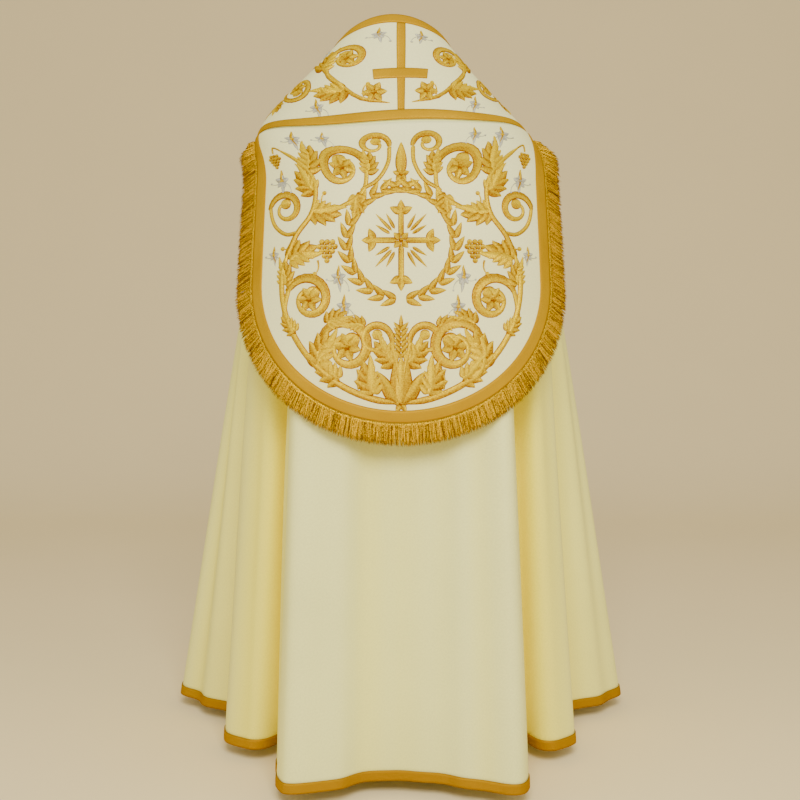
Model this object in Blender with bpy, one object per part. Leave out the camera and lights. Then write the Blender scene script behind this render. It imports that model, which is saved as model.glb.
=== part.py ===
"""Cope: a half-circle cloak of cream satin, worn open at the front, as it hangs from a pair of shoulders.

The cloth is one half circle. Its straight edge goes round the neck and down both fronts, its curve is
the hem. An ivory band lies on the straight edge, a stiff shield-shaped hood hangs from the band at the
back, a fringe goes round the hood, and a plain tab joins the fronts on the chest.
Metres, +Z up, the wearer looks along +Y, the origin is the middle of the neck opening.
"""

import math

import bmesh
import bpy
import numpy as np

# Flat pattern of the cloak
CLOTH_DEPTH = 1.50
NECK_HALF = 0.14
BAND_WIDTH = 0.24
GALLOON_WIDTH = 0.021
HEM_GALLOON_WIDTH = 0.019
BAR_HALF = 0.0068
CROSS_ARM = 0.0445
CROSS_ARM_FROM = 0.133
CROSS_ARM_TO = 0.154
BAR_CLEAR = 0.0035
HEM_CLEAR = 0.006

# Layers as heights above the outer face of the cloak
CLOAK_LAYER = (-0.0022, 0.0)
BAND_LAYER = (0.0004, 0.0018)
TRIM_LAYER = (0.0022, 0.0034)

# The cloak over the shoulders, one row per ring of the flat pattern. bunched is how much of the ring's
# cloth gathers at the back instead of the front:
# depth, half_width, back_y, front_y, z_back, z_side, z_front, end_degrees, bunched, middle_x
RINGS = np.array(
    (
        (0.00, 0.100, 0.055, 0.020, 0.028, -0.006, -0.020, 98.0, 0.00, -0.016),
        (0.10, 0.144, 0.100, 0.090, -0.058, -0.056, -0.055, 135.0, 0.15, -0.019),
        (0.24, 0.222, 0.165, 0.155, -0.197, -0.138, -0.145, 160.0, 0.33, -0.023),
        (0.36, 0.276, 0.203, 0.185, -0.308, -0.204, -0.238, 168.0, 0.20, -0.018),
        (0.50, 0.300, 0.238, 0.205, -0.440, -0.342, -0.375, 170.0, 0.00, 0.000),
        (0.75, 0.333, 0.290, 0.235, -0.680, -0.602, -0.620, 170.0, 0.00, 0.000),
        (1.50, 0.450, 0.390, 0.330, -1.423, -1.423, -1.390, 170.0, 0.00, 0.000),
    )
)

# Ridges and valleys of one half in plan, one row per fold line from the back middle to the front edge:
# hem_x, hem_y, waist_x, waist_y
FOLD_LINES = np.array(
    (
        (0.000, -0.394, 0.000, -0.304),
        (0.090, -0.418, 0.082, -0.316),
        (0.165, -0.454, 0.148, -0.328),
        (0.211, -0.457, 0.190, -0.329),
        (0.226, -0.425, 0.204, -0.308),
        (0.213, -0.290, 0.198, -0.265),
        (0.205, -0.205, 0.195, -0.224),
        (0.224, -0.182, 0.206, -0.208),
        (0.250, -0.212, 0.227, -0.218),
        (0.302, -0.241, 0.262, -0.215),
        (0.345, -0.205, 0.290, -0.178),
        (0.342, -0.130, 0.292, -0.130),
        (0.318, -0.045, 0.283, -0.075),
        (0.370, -0.010, 0.311, -0.034),
        (0.442, 0.040, 0.334, -0.002),
        (0.490, 0.122, 0.346, 0.052),
        (0.466, 0.192, 0.336, 0.100),
        (0.384, 0.188, 0.306, 0.124),
        (0.356, 0.222, 0.297, 0.157),
        (0.390, 0.285, 0.285, 0.200),
        (0.350, 0.335, 0.250, 0.225),
        (0.284, 0.288, 0.214, 0.226),
        (0.248, 0.298, 0.194, 0.233),
        (0.229, 0.352, 0.170, 0.254),
        (0.185, 0.385, 0.135, 0.268),
        (0.140, 0.320, 0.108, 0.250),
        (0.100, 0.325, 0.085, 0.252),
        (0.075, 0.370, 0.060, 0.265),
    )
)
WAIST_DEPTH = 0.75
FOLDS_FROM = 0.30
FOLDS_FULL = 0.80

# Mesh rings of the cloak: depth, columns
MESH_RINGS = (
    (0.000, 30),
    (0.050, 30),
    (0.110, 30),
    (0.175, 30),
    (0.250, 60),
    (0.330, 60),
    (0.420, 120),
    (0.520, 120),
    (0.640, 120),
    (0.780, 120),
    (0.940, 120),
    (1.120, 120),
    (1.300, 120),
    (CLOTH_DEPTH - HEM_GALLOON_WIDTH, 120),
    (CLOTH_DEPTH, 120),
)

# Hood: a stiff shield, flat sizes, and its hang, one row per level: drop_share, middle_y, edge_lift
HOOD_HALF = 0.316
HOOD_SIDE = 0.345
HOOD_DEPTH = 0.615
HOOD_X_HALF = 0.283
HOOD_DROP = 0.577
HOOD_TOP_Z = -0.190
HOOD_TOP_Q = 0.2460
HOOD_TOP_REACH = 0.96
HOOD_HANG = np.array(
    (
        (0.00, 0.194, 0.130),
        (0.20, 0.246, 0.125),
        (0.45, 0.306, 0.110),
        (0.62, 0.338, 0.098),
        (0.80, 0.360, 0.080),
        (1.00, 0.374, 0.050),
    )
)
HOOD_ROUNDING = 3.2
HOOD_LAYER = (0.0, 0.0026)
HOOD_LIFT = 0.0033
HOOD_GALLOON_WIDTH = 0.024
HOOD_GALLOON_LAYER = (0.0030, 0.0042)
HOOD_SIDE_STATIONS = 12
HOOD_ROUND_STATIONS = 26
HOOD_LEVELS = (0.08, 0.18, 0.30, 0.45, 0.65)
HOOD_REST = 0.14
HOOD_RISE = 0.05

# Fringe round the hood
FRINGE_COUNT = 124
FRINGE_STRIP_FROM = 0.0016
FRINGE_STRIP_TO = 0.0085
FRINGE_LENGTH = 0.040
FRINGE_FILL = 0.62
FRINGE_TIP = 0.60
FRINGE_LAYER = (0.0004, 0.0028)
FRINGE_TOP = 0.006
FRINGE_SPREAD = 1.0
FRINGE_DROOP = 0.52
FRINGE_SHORTEST = 0.35
FRINGE_GROWS_OVER = 0.045

# Chest tab that joins the two fronts
TAB_FROM = 0.345
TAB_TO = 0.425
TAB_REACH = 0.09
TAB_LAYER = (0.0042, 0.0064)
TAB_ROWS = 4
TAB_SIDE_COLUMNS = 5
TAB_BRIDGE_COLUMNS = 6
TAB_SWELL = 0.010


def through(knots, values, where):
    """Return the smooth curve through table rows at each place in where."""
    steps = np.diff(knots)[:, None]
    slopes = np.diff(values, axis=0) / steps
    inner = (slopes[1:] * steps[:-1] + slopes[:-1] * steps[1:]) / (steps[1:] + steps[:-1])
    tangents = np.vstack([slopes[:1], inner, slopes[-1:]])
    row = np.clip(np.searchsorted(knots, where, side="right") - 1, 0, len(knots) - 2)
    size = steps[row]
    t = np.clip((where - knots[row]) / steps[row, 0], 0.0, 1.0)[:, None]
    a = values[row] * (2 * t**3 - 3 * t**2 + 1)
    b = values[row + 1] * (3 * t**2 - 2 * t**3)
    c = tangents[row] * size * (t**3 - 2 * t**2 + t)
    d = tangents[row + 1] * size * (t**3 - t**2)
    return a + b + c + d


def ease(value):
    """Return a soft step from 0 to 1."""
    t = np.clip(value, 0.0, 1.0)
    return t * t * (3 - 2 * t)


def fold_table():
    """Return the shares round the hem and the plan points of both halves."""
    whole = np.vstack([FOLD_LINES[:0:-1] * (-1, 1, -1, 1), FOLD_LINES])
    lengths = np.linalg.norm(np.diff(whole[:, :2], axis=0), axis=1)
    along = np.concatenate([[0.0], np.cumsum(lengths)])
    return 2 * along / along[-1] - 1, whole


FOLD_SHARES, FOLD_PLAN = fold_table()


def place(depth, share):
    """Return where the cloak's outer face is, for ring depths and shares from -1 to 1 round the ring."""
    ring = through(RINGS[:, 0], RINGS[:, 1:], depth)
    half_width, back_y, front_y, z_back, z_side, z_front, end, bunched, middle_x = ring.T
    free = 1 - share**2
    angle = share * np.radians(end) * (1 - bunched * free) + np.arcsin(-middle_x / half_width) * free
    along = np.cos(angle)
    x = half_width * np.sin(angle) + middle_x
    y = -along * np.where(along > 0, back_y, front_y)
    z = z_side + np.where(along > 0, z_back - z_side, z_front - z_side) * along**2
    plan = through(FOLD_SHARES, FOLD_PLAN, share)
    t = ((depth - WAIST_DEPTH) / (CLOTH_DEPTH - WAIST_DEPTH))[:, None]
    fold = plan[:, 2:] + t * (plan[:, :2] - plan[:, 2:])
    weight = ease((depth - FOLDS_FROM) / (FOLDS_FULL - FOLDS_FROM))
    return np.stack([x + (fold[:, 0] - x) * weight, y + (fold[:, 1] - y) * weight, z], axis=1)


def lifted(depth, share, height):
    """Return points a height above the cloak's outer face."""
    step = 0.004
    low = np.maximum(depth - step, 0.0)
    down = place(np.minimum(depth + step, CLOTH_DEPTH), share) - place(low, share)
    left = np.maximum(share - step, -1.0)
    across = place(depth, np.minimum(share + step, 1.0)) - place(depth, left)
    normal = np.cross(down, across)
    normal /= np.linalg.norm(normal, axis=1)[:, None]
    return place(depth, share) + normal * np.reshape(height, (-1, 1))


def ring_share(depth, angle):
    """Return the share round a ring from the angle of the flat half ellipse."""
    long_half = np.sqrt(depth**2 + NECK_HALF**2)
    bunched = (long_half - depth) / long_half
    return bunched * np.cos(angle) + (1 - bunched) * (1 - 2 * angle / math.pi)


def flat_to_ring(p, q):
    """Return ring depths and shares of flat pattern points."""
    spot = np.arccosh((p + 1j * np.maximum(q, 1e-9)) / NECK_HALF)
    depth = NECK_HALF * np.sinh(spot.real)
    return depth, ring_share(depth, spot.imag)


def ring_points(depth, columns):
    """Return flat pattern points evenly spaced round one ring, from the left front edge to the right."""
    angles = np.linspace(math.pi, 0.0, 721)
    shares = ring_share(np.full(721, depth), angles)
    angle = np.interp(np.linspace(-1, 1, columns + 1), shares, angles)
    return np.sqrt(depth**2 + NECK_HALF**2) * np.cos(angle), depth * np.sin(angle)


def cut_near(mesh, point, direction, keep):
    """Cut the flat pattern along a straight line, only through the faces that keep picks."""
    faces = [f for f in mesh.faces if keep(f.calc_center_median())]
    edges = {e for f in faces for e in f.edges}
    verts = {v for f in faces for v in f.verts}
    bmesh.ops.bisect_plane(
        mesh, geom=[*verts, *edges, *faces], dist=0.0018, plane_co=point, plane_no=direction, use_snap_center=True
    )


def cloak_pattern():
    """Return the flat pattern's points and triangles, cut along the edges of the trims."""
    mesh = bmesh.new()
    above = None
    for depth, columns in MESH_RINGS:
        p, q = ring_points(depth, columns)
        row = [mesh.verts.new((x, y, 0.0)) for x, y in zip(p, q)]
        if above is not None:
            for i in range(len(above) - 1):
                if len(row) == len(above):
                    corners = (above[i], row[i], row[i + 1], above[i + 1])
                else:
                    corners = (above[i], row[2 * i], row[2 * i + 1], row[2 * i + 2], above[i + 1])
                mesh.faces.new(corners)
        above = row
    line = (0.0, 1.0, 0.0)
    bar = (1.0, 0.0, 0.0)
    for q in (GALLOON_WIDTH, BAND_WIDTH - GALLOON_WIDTH, BAND_WIDTH):
        cut_near(mesh, (0, q, 0), line, lambda c: c.y < 0.4)
    for q in (GALLOON_WIDTH + BAR_CLEAR, BAND_WIDTH - GALLOON_WIDTH - BAR_CLEAR):
        cut_near(mesh, (0, q, 0), line, lambda c: abs(c.x) < 0.04 and c.y < BAND_WIDTH)
    for q in (CROSS_ARM_FROM, CROSS_ARM_TO):
        cut_near(mesh, (0, q, 0), line, lambda c: abs(c.x) < 0.09 and c.y < BAND_WIDTH)
    for p in (-BAR_HALF, BAR_HALF, -CROSS_ARM, CROSS_ARM):
        cut_near(mesh, (p, 0, 0), bar, lambda c: abs(c.x) < 0.09 and c.y < BAND_WIDTH)
    hem_from = CLOTH_DEPTH - HEM_GALLOON_WIDTH
    cut_near(mesh, (0, BAND_WIDTH + HEM_CLEAR, 0), line, lambda c: c.xy.length > hem_from - 0.01 and c.y < 0.4)
    bmesh.ops.remove_doubles(mesh, verts=mesh.verts[:], dist=0.0004)
    bmesh.ops.triangulate(mesh, faces=mesh.faces[:])
    mesh.verts.index_update()
    points = np.array([v.co[:2] for v in mesh.verts])
    triangles = np.array([[v.index for v in f.verts] for f in mesh.faces])
    mesh.free()
    ends = points[triangles]
    turn = np.cross(ends[:, 1] - ends[:, 0], ends[:, 2] - ends[:, 0])
    triangles = triangles[np.abs(turn) > 1e-9]
    turn = turn[np.abs(turn) > 1e-9]
    triangles[turn > 0] = triangles[turn > 0][:, ::-1]
    return points, triangles


def point_normals(points, triangles):
    """Return the outward direction at each point of a triangle mesh."""
    corners = points[triangles]
    face = np.cross(corners[:, 1] - corners[:, 0], corners[:, 2] - corners[:, 0])
    normals = np.zeros_like(points)
    for k in range(3):
        np.add.at(normals, triangles[:, k], face)
    return normals / np.maximum(np.linalg.norm(normals, axis=1), 1e-12)[:, None]


def surface(name, colour, roughness, metallic=0.0, sheen=0.0):
    """Return a material with one surface finish."""
    material = bpy.data.materials.new(name)
    material.use_nodes = True
    shader = material.node_tree.nodes["Principled BSDF"]
    shader.inputs["Base Color"].default_value = (*colour, 1.0)
    shader.inputs["Roughness"].default_value = roughness
    shader.inputs["Metallic"].default_value = metallic
    shader.inputs["Sheen Weight"].default_value = sheen
    material.diffuse_color = (*colour, 1.0)
    return material


def add_object(name, mesh, material):
    """Turn a finished bmesh into a named object with smooth faces and crisp rims."""
    bmesh.ops.recalc_face_normals(mesh, faces=mesh.faces[:])
    for face in mesh.faces:
        face.smooth = True
    for edge in mesh.edges:
        edge.smooth = len(edge.link_faces) == 2 and edge.calc_face_angle(0.0) < math.radians(50)
    data = bpy.data.meshes.new(name)
    mesh.to_mesh(data)
    mesh.free()
    data.materials.append(material)
    item = bpy.data.objects.new(name, data)
    bpy.context.scene.collection.objects.link(item)
    return item


def sheet(name, material, inner, outer, triangles):
    """Make a closed wall between two faces that share triangles."""
    used, local = np.unique(triangles, return_inverse=True)
    local = local.reshape(-1, 3)
    mesh = bmesh.new()
    low = [mesh.verts.new(inner[i]) for i in used]
    high = [mesh.verts.new(outer[i]) for i in used]
    ends = set()
    for a, b, c in local.tolist():
        mesh.faces.new((high[a], high[b], high[c]))
        mesh.faces.new((low[c], low[b], low[a]))
        ends |= {(a, b), (b, c), (c, a)}
    for a, b in sorted(ends):
        if (b, a) not in ends:
            mesh.faces.new((high[b], high[a], low[a], low[b]))
    return add_object(name, mesh, material)


def build_cloak(satin, ivory, galloon, hem_braid):
    """Build the cloak, the band on it and the trims of both."""
    flat, triangles = cloak_pattern()
    depth, share = flat_to_ring(flat[:, 0], flat[:, 1])
    points = place(np.clip(depth, 0.0, CLOTH_DEPTH), np.clip(share, -1.0, 1.0))
    normals = point_normals(points, triangles)
    centre = flat[triangles].mean(axis=1)
    ring = depth[triangles].mean(axis=1)
    p = np.abs(centre[:, 0])
    q = centre[:, 1]
    on_bar = (p < BAR_HALF) & (q > GALLOON_WIDTH + BAR_CLEAR) & (q < BAND_WIDTH - GALLOON_WIDTH - BAR_CLEAR)
    on_arm = (p < CROSS_ARM) & (q > CROSS_ARM_FROM) & (q < CROSS_ARM_TO)
    on_hem = (ring > CLOTH_DEPTH - HEM_GALLOON_WIDTH) & (q > BAND_WIDTH + HEM_CLEAR)
    pieces = (
        ("cloak", satin, CLOAK_LAYER, q > -1),
        ("orphrey_band", ivory, BAND_LAYER, q < BAND_WIDTH),
        ("neck_galloon", galloon, TRIM_LAYER, q < GALLOON_WIDTH),
        ("band_galloon", galloon, TRIM_LAYER, (q > BAND_WIDTH - GALLOON_WIDTH) & (q < BAND_WIDTH)),
        ("galloon_cross", galloon, TRIM_LAYER, on_bar | on_arm),
        ("hem_galloon", hem_braid, BAND_LAYER, on_hem),
    )
    for name, material, (low, high), chosen in pieces:
        sheet(name, material, points + normals * low, points + normals * high, triangles[chosen])


def hood_place(u, v):
    """Return where the hood's back face is, for flat places across and down the shield."""
    past = u - np.clip(u, -HOOD_HALF, HOOD_HALF)
    p = (u - past) * HOOD_TOP_REACH
    near = np.clip(v, 0.0, HOOD_REST)
    depth, share = flat_to_ring(p, HOOD_TOP_Q + near)
    resting = lifted(depth, share, HOOD_LIFT + HOOD_RISE * near)
    resting += np.stack([past, 0 * past, near - v], axis=1)
    drop = v / HOOD_DEPTH
    middle_y, edge_lift = through(HOOD_HANG[:, 0], HOOD_HANG[:, 1:], np.clip(drop, 0.0, 1.0)).T
    middle_y = middle_y + np.maximum(drop - 1.0, 0.0) * 0.05
    x = u * HOOD_X_HALF / HOOD_HALF
    y = edge_lift * np.abs(x / HOOD_X_HALF) ** HOOD_ROUNDING - middle_y
    hung = np.stack([x, y, HOOD_TOP_Z - HOOD_DROP * drop], axis=1)
    weight = ease(v / HOOD_REST)[:, None]
    return resting * (1 - weight) + hung * weight


def hood_lifted(u, v, height):
    """Return points a height above the hood's back face."""
    step = 0.004
    down = hood_place(u, v + step) - hood_place(u, v - step)
    across = hood_place(u + step, v) - hood_place(u - step, v)
    normal = np.cross(down, across)
    normal /= np.linalg.norm(normal, axis=1)[:, None]
    return hood_place(u, v) + normal * np.reshape(height, (-1, 1))


def hood_edge(along, inset):
    """Return flat points of the hood's edge, from its left top corner round to the right one.

    along goes from -1 to 1, inset is how far inside the edge the line runs.
    """
    half = HOOD_HALF - inset
    round_height = HOOD_DEPTH - HOOD_SIDE - inset
    turn = (half + round_height) * math.pi / 4
    length = HOOD_SIDE + turn
    walked = (1 - np.abs(along)) * length
    side = walked < HOOD_SIDE
    angle = np.clip((walked - HOOD_SIDE) / turn, 0.0, 1.0) * math.pi / 2
    u = np.where(side, half, half * np.cos(angle))
    v = np.where(side, walked, HOOD_SIDE + round_height * np.sin(angle))
    return np.sign(along) * u, v


def build_hood(ivory, galloon):
    """Build the shield and the galloon round it."""
    turn = (HOOD_HALF + HOOD_DEPTH - HOOD_SIDE) * math.pi / 4
    corner = turn / (turn + HOOD_SIDE)
    right = np.concatenate(
        [
            np.linspace(0.0, corner, HOOD_ROUND_STATIONS // 2 + 1),
            np.linspace(corner, 1.0, HOOD_SIDE_STATIONS + 1)[1:],
        ]
    )
    along = np.concatenate([-right[:0:-1], right])
    count = len(along)
    outer = np.stack(hood_edge(along, 0.0), axis=1)
    border = np.stack(hood_edge(along, HOOD_GALLOON_WIDTH), axis=1)
    spine = np.stack([np.zeros(count), np.minimum(border[:, 1], HOOD_SIDE)], axis=1)
    rows = [outer, border, *(border * (1 - t) + spine * t for t in HOOD_LEVELS), spine]
    flat = np.vstack(rows)
    triangles = []
    for r in range(len(rows) - 1):
        for i in range(count - 1):
            a, b = r * count + i, r * count + i + 1
            c, d = a + count, b + count
            triangles += [(a, b, d), (a, d, c)]
    keys = {}
    merged = [keys.setdefault((round(u * 1e6), round(v * 1e6)), i) for i, (u, v) in enumerate(flat.tolist())]
    triangles = np.array(merged)[np.array(triangles)]
    a, b, c = triangles.T
    triangles = triangles[(a != b) & (b != c) & (c != a)]
    u, v = flat.T
    corners = flat[triangles]
    turned = np.cross(corners[:, 1] - corners[:, 0], corners[:, 2] - corners[:, 0])
    triangles[turned > 0] = triangles[turned > 0][:, ::-1]
    inner, face = (hood_lifted(u, v, np.full(len(u), h)) for h in HOOD_LAYER)
    sheet("hood_shield", ivory, inner, face, triangles)
    under, over = (hood_lifted(u, v, np.full(len(u), h)) for h in HOOD_GALLOON_LAYER)
    rim = (triangles < 2 * count).all(axis=1)
    sheet("hood_galloon", galloon, under, over, triangles[rim])


def build_fringe(bullion):
    """Build the strip round the hood with its hanging strands."""
    turn = (HOOD_HALF + HOOD_DEPTH - HOOD_SIDE) * math.pi / 4
    end = 1 - FRINGE_TOP / (turn + HOOD_SIDE)
    pitch = 2 * end / FRINGE_COUNT
    starts = -end + pitch * np.arange(FRINGE_COUNT)
    along = np.stack([starts + pitch * (1 - FRINGE_FILL) / 2, starts + pitch * (1 + FRINGE_FILL) / 2], axis=1)
    along = along.ravel()
    nudge = 0.002
    u, v = hood_edge(along, 0.0)
    before, after = (np.stack(hood_edge(np.clip(along + k, -1, 1), 0.0), axis=1) for k in (-nudge, nudge))
    tangent = after - before
    out = np.stack([-tangent[:, 1], tangent[:, 0]], axis=1)
    out /= np.linalg.norm(out, axis=1)[:, None]
    roots = [np.stack([u, v], axis=1) + out * d for d in (FRINGE_STRIP_FROM, FRINGE_STRIP_TO)]
    middle = (roots[1][0::2] + roots[1][1::2]) / 2
    fall = out[0::2] + out[1::2]
    fall = fall / np.linalg.norm(fall, axis=1)[:, None] * FRINGE_SPREAD + (0.0, FRINGE_DROOP)
    fall /= np.linalg.norm(fall, axis=1)[:, None]
    below_end = (end - np.abs(starts + pitch / 2)) * (turn + HOOD_SIDE)
    share = FRINGE_SHORTEST + (1 - FRINGE_SHORTEST) * ease(below_end / FRINGE_GROWS_OVER)
    fall *= FRINGE_LENGTH * share[:, None]
    tips = []
    for side in (0, 1):
        narrow = middle + (roots[1][side::2] - middle) * FRINGE_TIP
        tips.append(narrow + fall)
    mesh = bmesh.new()

    def corners(flat):
        heights = [np.full(len(flat), h) for h in FRINGE_LAYER]
        return [[mesh.verts.new(c) for c in hood_lifted(flat[:, 0], flat[:, 1], h)] for h in heights]

    (top_back, top_face), (low_back, low_face) = corners(roots[0]), corners(roots[1])
    for i in range(len(along) - 1):
        mesh.faces.new((top_face[i], top_face[i + 1], low_face[i + 1], low_face[i]))
        mesh.faces.new((top_back[i], low_back[i], low_back[i + 1], top_back[i + 1]))
        mesh.faces.new((top_back[i], top_back[i + 1], top_face[i + 1], top_face[i]))
        if i % 2 == 1:
            mesh.faces.new((low_back[i], low_face[i], low_face[i + 1], low_back[i + 1]))
    for i in (0, len(along) - 1):
        mesh.faces.new((top_back[i], top_face[i], low_face[i], low_back[i]))
    (left_back, left_face), (right_back, right_face) = corners(tips[0]), corners(tips[1])
    for k in range(FRINGE_COUNT):
        i = 2 * k
        root = (low_back[i], low_face[i], low_face[i + 1], low_back[i + 1])
        tip = (left_back[k], left_face[k], right_face[k], right_back[k])
        for j in range(4):
            mesh.faces.new((root[j], root[j - 3], tip[j - 3], tip[j]))
        mesh.faces.new(tip)
    add_object("hood_fringe", mesh, bullion)


def build_tab(ivory):
    """Build the tab that joins the two fronts on the chest."""
    shares = np.linspace(1 - TAB_REACH, 1.0, TAB_SIDE_COLUMNS + 1)
    faces = []
    for height in TAB_LAYER:
        rows = []
        for depth in np.linspace(TAB_FROM, TAB_TO, TAB_ROWS + 1):
            depths = np.full(len(shares), depth)
            right = lifted(depths, shares, np.full(len(shares), height))
            left = lifted(depths, -shares[::-1], np.full(len(shares), height))
            steps = np.linspace(0, 1, TAB_BRIDGE_COLUMNS + 1)[1:-1, None]
            bridge = right[-1] * (1 - steps) + left[0] * steps
            bridge[:, 1] += TAB_SWELL * np.sin(math.pi * steps[:, 0])
            rows.append(np.vstack([right, bridge, left]))
        faces.append(np.array(rows))
    row_count, column_count = faces[0].shape[:2]
    triangles = []
    for r in range(row_count - 1):
        for c in range(column_count - 1):
            a = r * column_count + c
            triangles += [(a, a + column_count + 1, a + 1), (a, a + column_count, a + column_count + 1)]
    inner, outer = (f.reshape(-1, 3) for f in faces)
    sheet("chest_tab", ivory, inner, outer, np.array(triangles))


def main():
    """Build every piece of the cope."""
    for item in list(bpy.context.scene.objects):
        bpy.data.objects.remove(item, do_unlink=True)
    satin = surface("cream_satin", (0.72, 0.68, 0.42), 0.42, sheen=0.2)
    ivory = surface("ivory_cloth", (0.76, 0.73, 0.60), 0.55, sheen=0.2)
    galloon = surface("gold_galloon", (0.60, 0.38, 0.03), 0.45, metallic=0.2)
    hem_braid = surface("hem_galloon_cloth", (0.50, 0.29, 0.03), 0.5, metallic=0.2)
    bullion = surface("bullion_thread", (0.52, 0.34, 0.10), 0.38, metallic=0.6)
    build_cloak(satin, ivory, galloon, hem_braid)
    build_hood(ivory, galloon)
    build_fringe(bullion)
    build_tab(ivory)


main()
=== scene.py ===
import logging
import math
from collections.abc import Callable
from dataclasses import dataclass, field
from enum import Enum

import bmesh
import bpy
import numpy as np
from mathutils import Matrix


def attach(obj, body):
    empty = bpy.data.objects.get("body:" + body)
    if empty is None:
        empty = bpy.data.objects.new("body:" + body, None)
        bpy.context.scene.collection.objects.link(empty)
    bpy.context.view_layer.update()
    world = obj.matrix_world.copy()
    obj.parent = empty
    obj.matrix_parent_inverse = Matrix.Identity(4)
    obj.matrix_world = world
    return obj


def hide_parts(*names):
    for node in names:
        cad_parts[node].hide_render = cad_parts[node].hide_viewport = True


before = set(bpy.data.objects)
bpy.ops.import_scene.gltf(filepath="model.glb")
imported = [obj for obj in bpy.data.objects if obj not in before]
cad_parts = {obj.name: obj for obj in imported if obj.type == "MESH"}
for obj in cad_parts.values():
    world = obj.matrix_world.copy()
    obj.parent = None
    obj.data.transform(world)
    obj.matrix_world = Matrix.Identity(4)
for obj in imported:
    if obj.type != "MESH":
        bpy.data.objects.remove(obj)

LOG = logging.getLogger("cope")
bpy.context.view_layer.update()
BODY = "root"

Array = np.ndarray
Colour = tuple[float, float, float]
Spot = Array | tuple[float, float]

# The cloak over the shoulders, one row per ring of the flat pattern. bunched is how much of the ring's
# cloth gathers at the back instead of the front:
# depth, half_width, back_y, front_y, z_back, z_side, z_front, end_degrees, bunched, middle_x
RINGS = np.array(
    (
        (0.00, 0.100, 0.055, 0.020, 0.028, -0.006, -0.020, 98.0, 0.00, -0.016),
        (0.10, 0.144, 0.100, 0.090, -0.058, -0.056, -0.055, 135.0, 0.15, -0.019),
        (0.24, 0.222, 0.165, 0.155, -0.197, -0.138, -0.145, 160.0, 0.33, -0.023),
        (0.36, 0.276, 0.203, 0.185, -0.308, -0.204, -0.238, 168.0, 0.20, -0.018),
        (0.50, 0.300, 0.238, 0.205, -0.440, -0.342, -0.375, 170.0, 0.00, 0.000),
        (0.75, 0.333, 0.290, 0.235, -0.680, -0.602, -0.620, 170.0, 0.00, 0.000),
        (1.50, 0.450, 0.390, 0.330, -1.423, -1.423, -1.390, 170.0, 0.00, 0.000),
    )
)

# Ridges and valleys of one half in plan, one row per fold line from the back middle to the front edge:
# hem_x, hem_y, waist_x, waist_y, how deep in a fold the cloth lies there, which sets the painted bounce light
# and shade
FOLD_LINES = np.array(
    (
        (0.000, -0.394, 0.000, -0.304, 0.16),
        (0.090, -0.418, 0.082, -0.316, 0.0),
        (0.165, -0.454, 0.148, -0.328, 0.0),
        (0.211, -0.457, 0.190, -0.329, 0.0),
        (0.226, -0.425, 0.204, -0.308, 0.2),
        (0.213, -0.290, 0.198, -0.265, 0.9),
        (0.205, -0.205, 0.195, -0.224, 1.0),
        (0.224, -0.182, 0.206, -0.208, 1.0),
        (0.250, -0.212, 0.227, -0.218, 1.0),
        (0.302, -0.241, 0.262, -0.215, 0.6),
        (0.345, -0.205, 0.290, -0.178, 0.3),
        (0.342, -0.130, 0.292, -0.130, 0.5),
        (0.318, -0.045, 0.283, -0.075, 0.6),
        (0.370, -0.010, 0.311, -0.034, 0.4),
        (0.442, 0.040, 0.334, -0.002, 0.3),
        (0.490, 0.122, 0.346, 0.052, 0.2),
        (0.466, 0.192, 0.336, 0.100, 0.2),
        (0.384, 0.188, 0.306, 0.124, 0.8),
        (0.356, 0.222, 0.297, 0.157, 0.8),
        (0.390, 0.285, 0.285, 0.200, 0.1),
        (0.350, 0.335, 0.250, 0.225, 0.0),
        (0.284, 0.288, 0.214, 0.226, 0.7),
        (0.248, 0.298, 0.194, 0.233, 0.7),
        (0.229, 0.352, 0.170, 0.254, 0.0),
        (0.185, 0.385, 0.135, 0.268, 0.0),
        (0.140, 0.320, 0.108, 0.250, 0.6),
        (0.100, 0.325, 0.085, 0.252, 0.4),
        (0.075, 0.370, 0.060, 0.265, 0.0),
    )
)

# The hood's hang, one row per level: drop_share, middle_y, edge_lift
HOOD_HANG = np.array(
    (
        (0.00, 0.194, 0.130),
        (0.20, 0.246, 0.125),
        (0.45, 0.306, 0.110),
        (0.62, 0.338, 0.098),
        (0.80, 0.360, 0.080),
        (1.00, 0.374, 0.050),
    )
)

# Soft flutes of the hanging cloth, one row each: half waves from the back middle to a front edge, phase, height
FLUTES = np.array(
    (
        (19.0, 0.3, 0.0048),
        (31.0, 1.9, 0.0040),
        (47.0, 4.1, 0.0022),
    )
)

# Points closer than this belong to one seam
SEAM_GAP = 2e-6


def through(knots: Array, values: Array, where: Array) -> Array:
    """Follow the smooth curve through table rows.

    Args:
        knots: the rows' places, rising.
        values: one row of numbers per knot.
        where: the places asked for.

    Returns:
        One row of numbers per place.
    """
    steps = np.diff(knots)[:, None]
    slopes = np.diff(values, axis=0) / steps
    inner = (slopes[1:] * steps[:-1] + slopes[:-1] * steps[1:]) / (steps[1:] + steps[:-1])
    tangents = np.vstack([slopes[:1], inner, slopes[-1:]])
    row = np.clip(np.searchsorted(knots, where, side="right") - 1, 0, len(knots) - 2)
    size = steps[row]
    t = np.clip((where - knots[row]) / steps[row, 0], 0.0, 1.0)[:, None]
    a = values[row] * (2 * t**3 - 3 * t**2 + 1)
    b = values[row + 1] * (3 * t**2 - 2 * t**3)
    c = tangents[row] * size * (t**3 - 2 * t**2 + t)
    d = tangents[row + 1] * size * (t**3 - t**2)
    return a + b + c + d


def ease(value: Array) -> Array:
    """Return a soft step from 0 to 1."""
    t = np.clip(value, 0.0, 1.0)
    return t * t * (3 - 2 * t)


def unit(vectors: Array) -> Array:
    """Return the rows at length 1."""
    return vectors / np.maximum(np.linalg.norm(vectors, axis=-1, keepdims=True), 1e-12)


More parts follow.
